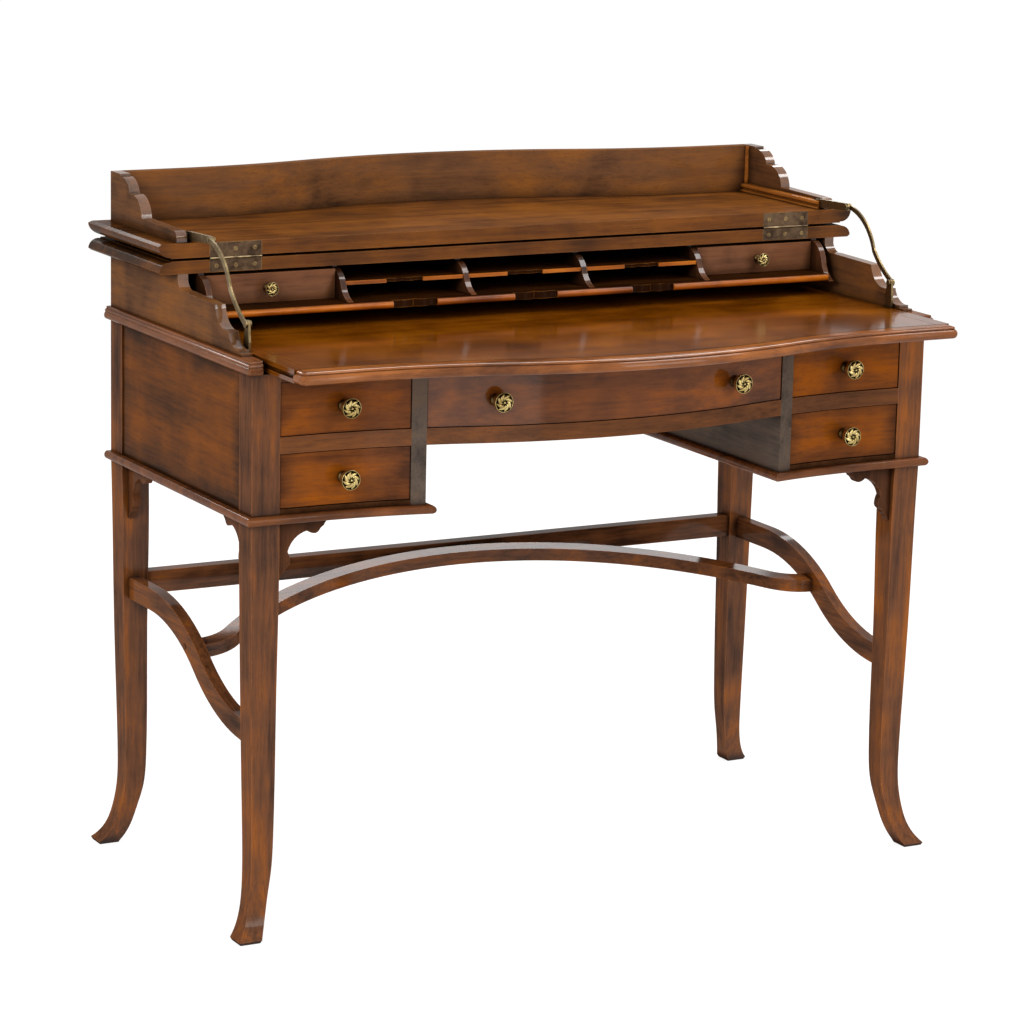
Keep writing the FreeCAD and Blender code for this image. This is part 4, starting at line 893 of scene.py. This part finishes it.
# ---------------------------------------------------------------- moulded top edge of the case
moulding_foot = 0.7390
moulding_top = 0.7569
moulding_side = 0.5060
moulding_front = -0.18449
moulding_back = 0.27951
moulding_inner = 0.4915
# How far the two sides of the mitre lean to its diagonal, and how far the return bulges inwards.
mitre_lean = 0.8
return_flatness = 0.35
return_end = 0.4950
return_turn = 0.0020
return_depth = 0.0090
return_steps = 8
block_lift = 0.0001
tongue_low = Vector((-0.4915, 0.0025, 0.7475))
tongue_high = Vector((-0.4835, 0.2655, 0.7525))
# Out from the side of the case and up from the foot, in millimetres: nose, small bead, fillet.
moulding_lip = [
    (-2.0, 0), (4.6, 0), (7.4, 0.8), (9.3, 2.7), (10.0, 5.4), (9.6, 7.9), (8.7, 9.6),
    (8.1, 10.2), (7.9, 10.5), (8.1, 10.8), (8.6, 11.2), (8.8, 12.3), (8.4, 13.5), (7.4, 14.4),
    (6.5, 14.7), (6.3, 14.95), (6.4, 15.2), (6.5, 16.4), (6.1, 17.5), (5.0, 18.0),
    (-2.0, 18.0), (-2.0, 0)]


def moulding_path():
    """Along the left side, mitred round the front corner, and round the end of the return."""
    corner = (-moulding_side, moulding_front, 0)
    path = [(Vector((-moulding_side, moulding_back, 0)), Vector((-1, 0, 0))),
            (Vector(corner), Vector((-1, -mitre_lean, 0))),
            (Vector(corner), Vector((-mitre_lean, -1, 0)))]
    middle = Vector((-return_end - return_turn, moulding_front + return_turn, 0))
    for index in range(return_steps + 1):
        angle = math.pi / 2 * index / return_steps
        round_way = Vector((math.sin(angle), -math.cos(angle), 0))
        facing = Vector((round_way.x * return_flatness, round_way.y, 0))
        path.append((middle + round_way * return_turn, facing))
    end = (-return_end, moulding_front + return_depth + return_turn, 0)
    path.append((Vector(end), Vector((return_flatness, 0, 0))))
    return path


def make_top_mouldings():
    """The mouldings on the case's sides, and the tongues inside them that carry the slide."""
    mesh = bmesh.new()
    carry(mesh, moulding_lip, moulding_path(), moulding_foot)
    foot = moulding_foot + block_lift
    block(mesh, Vector((-moulding_side, moulding_front, foot)),
          Vector((-return_end, moulding_back, moulding_top)))
    block(mesh, Vector((-return_end, moulding_front + return_depth, foot)),
          Vector((-moulding_inner, moulding_back, moulding_top)))
    block(mesh, tongue_low, tongue_high)
    add_mirror_half(mesh)
    bmesh.ops.recalc_face_normals(mesh, faces=mesh.faces)
    mouldings = mesh_object("case_top_mouldings", mesh)
    dress(mouldings, nodes["top_mouldings"].material_slots[0].material)
    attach(mouldings, "case")
    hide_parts("top_mouldings")


make_top_mouldings()


# ---------------------------------------------------------------- hinge screws
screw_radius = 0.0033
screw_taper = 0.9
screw_depth = 0.0006
# How far the middle of a head lies behind the face of its plate.
screw_sink = 0.0001
slot_width = 0.0007
plate_inner = 0.387
plate_thick = 0.0012
plate_shift = 0.002
# Where the screws stand across a plate, as shares of its width, and how their slots slant.
screw_shares = (0.13, 0.5, 0.87)
slot_slant = 0.5
slot_step = 0.9


def slotted_screw(mesh, x, y, z, angle):
    """Two half-moons of a countersunk head with the slot between them, facing -Y."""
    for side in (-1, 1):
        half = bmesh.ops.create_cone(mesh, cap_ends=True, segments=20, radius1=screw_radius,
                                     radius2=screw_radius * screw_taper,
                                     depth=screw_depth)["verts"]
        kept = saw_off(mesh, half, (0, side * slot_width / 2, 0), (0, -side, 0))
        for turn, axis in ((angle, "Z"), (math.pi / 2, "X")):
            bmesh.ops.rotate(mesh, verts=kept, cent=(0, 0, 0),
                             matrix=Matrix.Rotation(turn, 3, axis))
        bmesh.ops.translate(mesh, verts=kept, vec=(x, y + screw_sink, z))


def hinge_screws(node, body):
    """Three screws in each plate of a hinge node, each turned home to a slant of its own."""
    low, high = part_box(node)
    face_y = high[1] - plate_thick
    away_from_knuckles = -plate_shift if body == "case" else plate_shift
    middle_z = (low[2] + high[2]) / 2 + away_from_knuckles
    mesh = bmesh.new()
    for side in (-1, 1):
        for index, share in enumerate(screw_shares):
            x = side * (plate_inner + (high[0] - plate_inner) * share)
            slant = slot_slant + slot_step * index + side
            slotted_screw(mesh, x, face_y, middle_z, slant)
    screws = mesh_object(node + "_screws", mesh)
    dress(screws, screw_brass)
    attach(screws, body)


hinge_screws("hinge_plates_lower", "case")
hinge_screws("hinge_plates_upper", "flap")


# ---------------------------------------------------------------- hand over
add_camera()
add_studio()
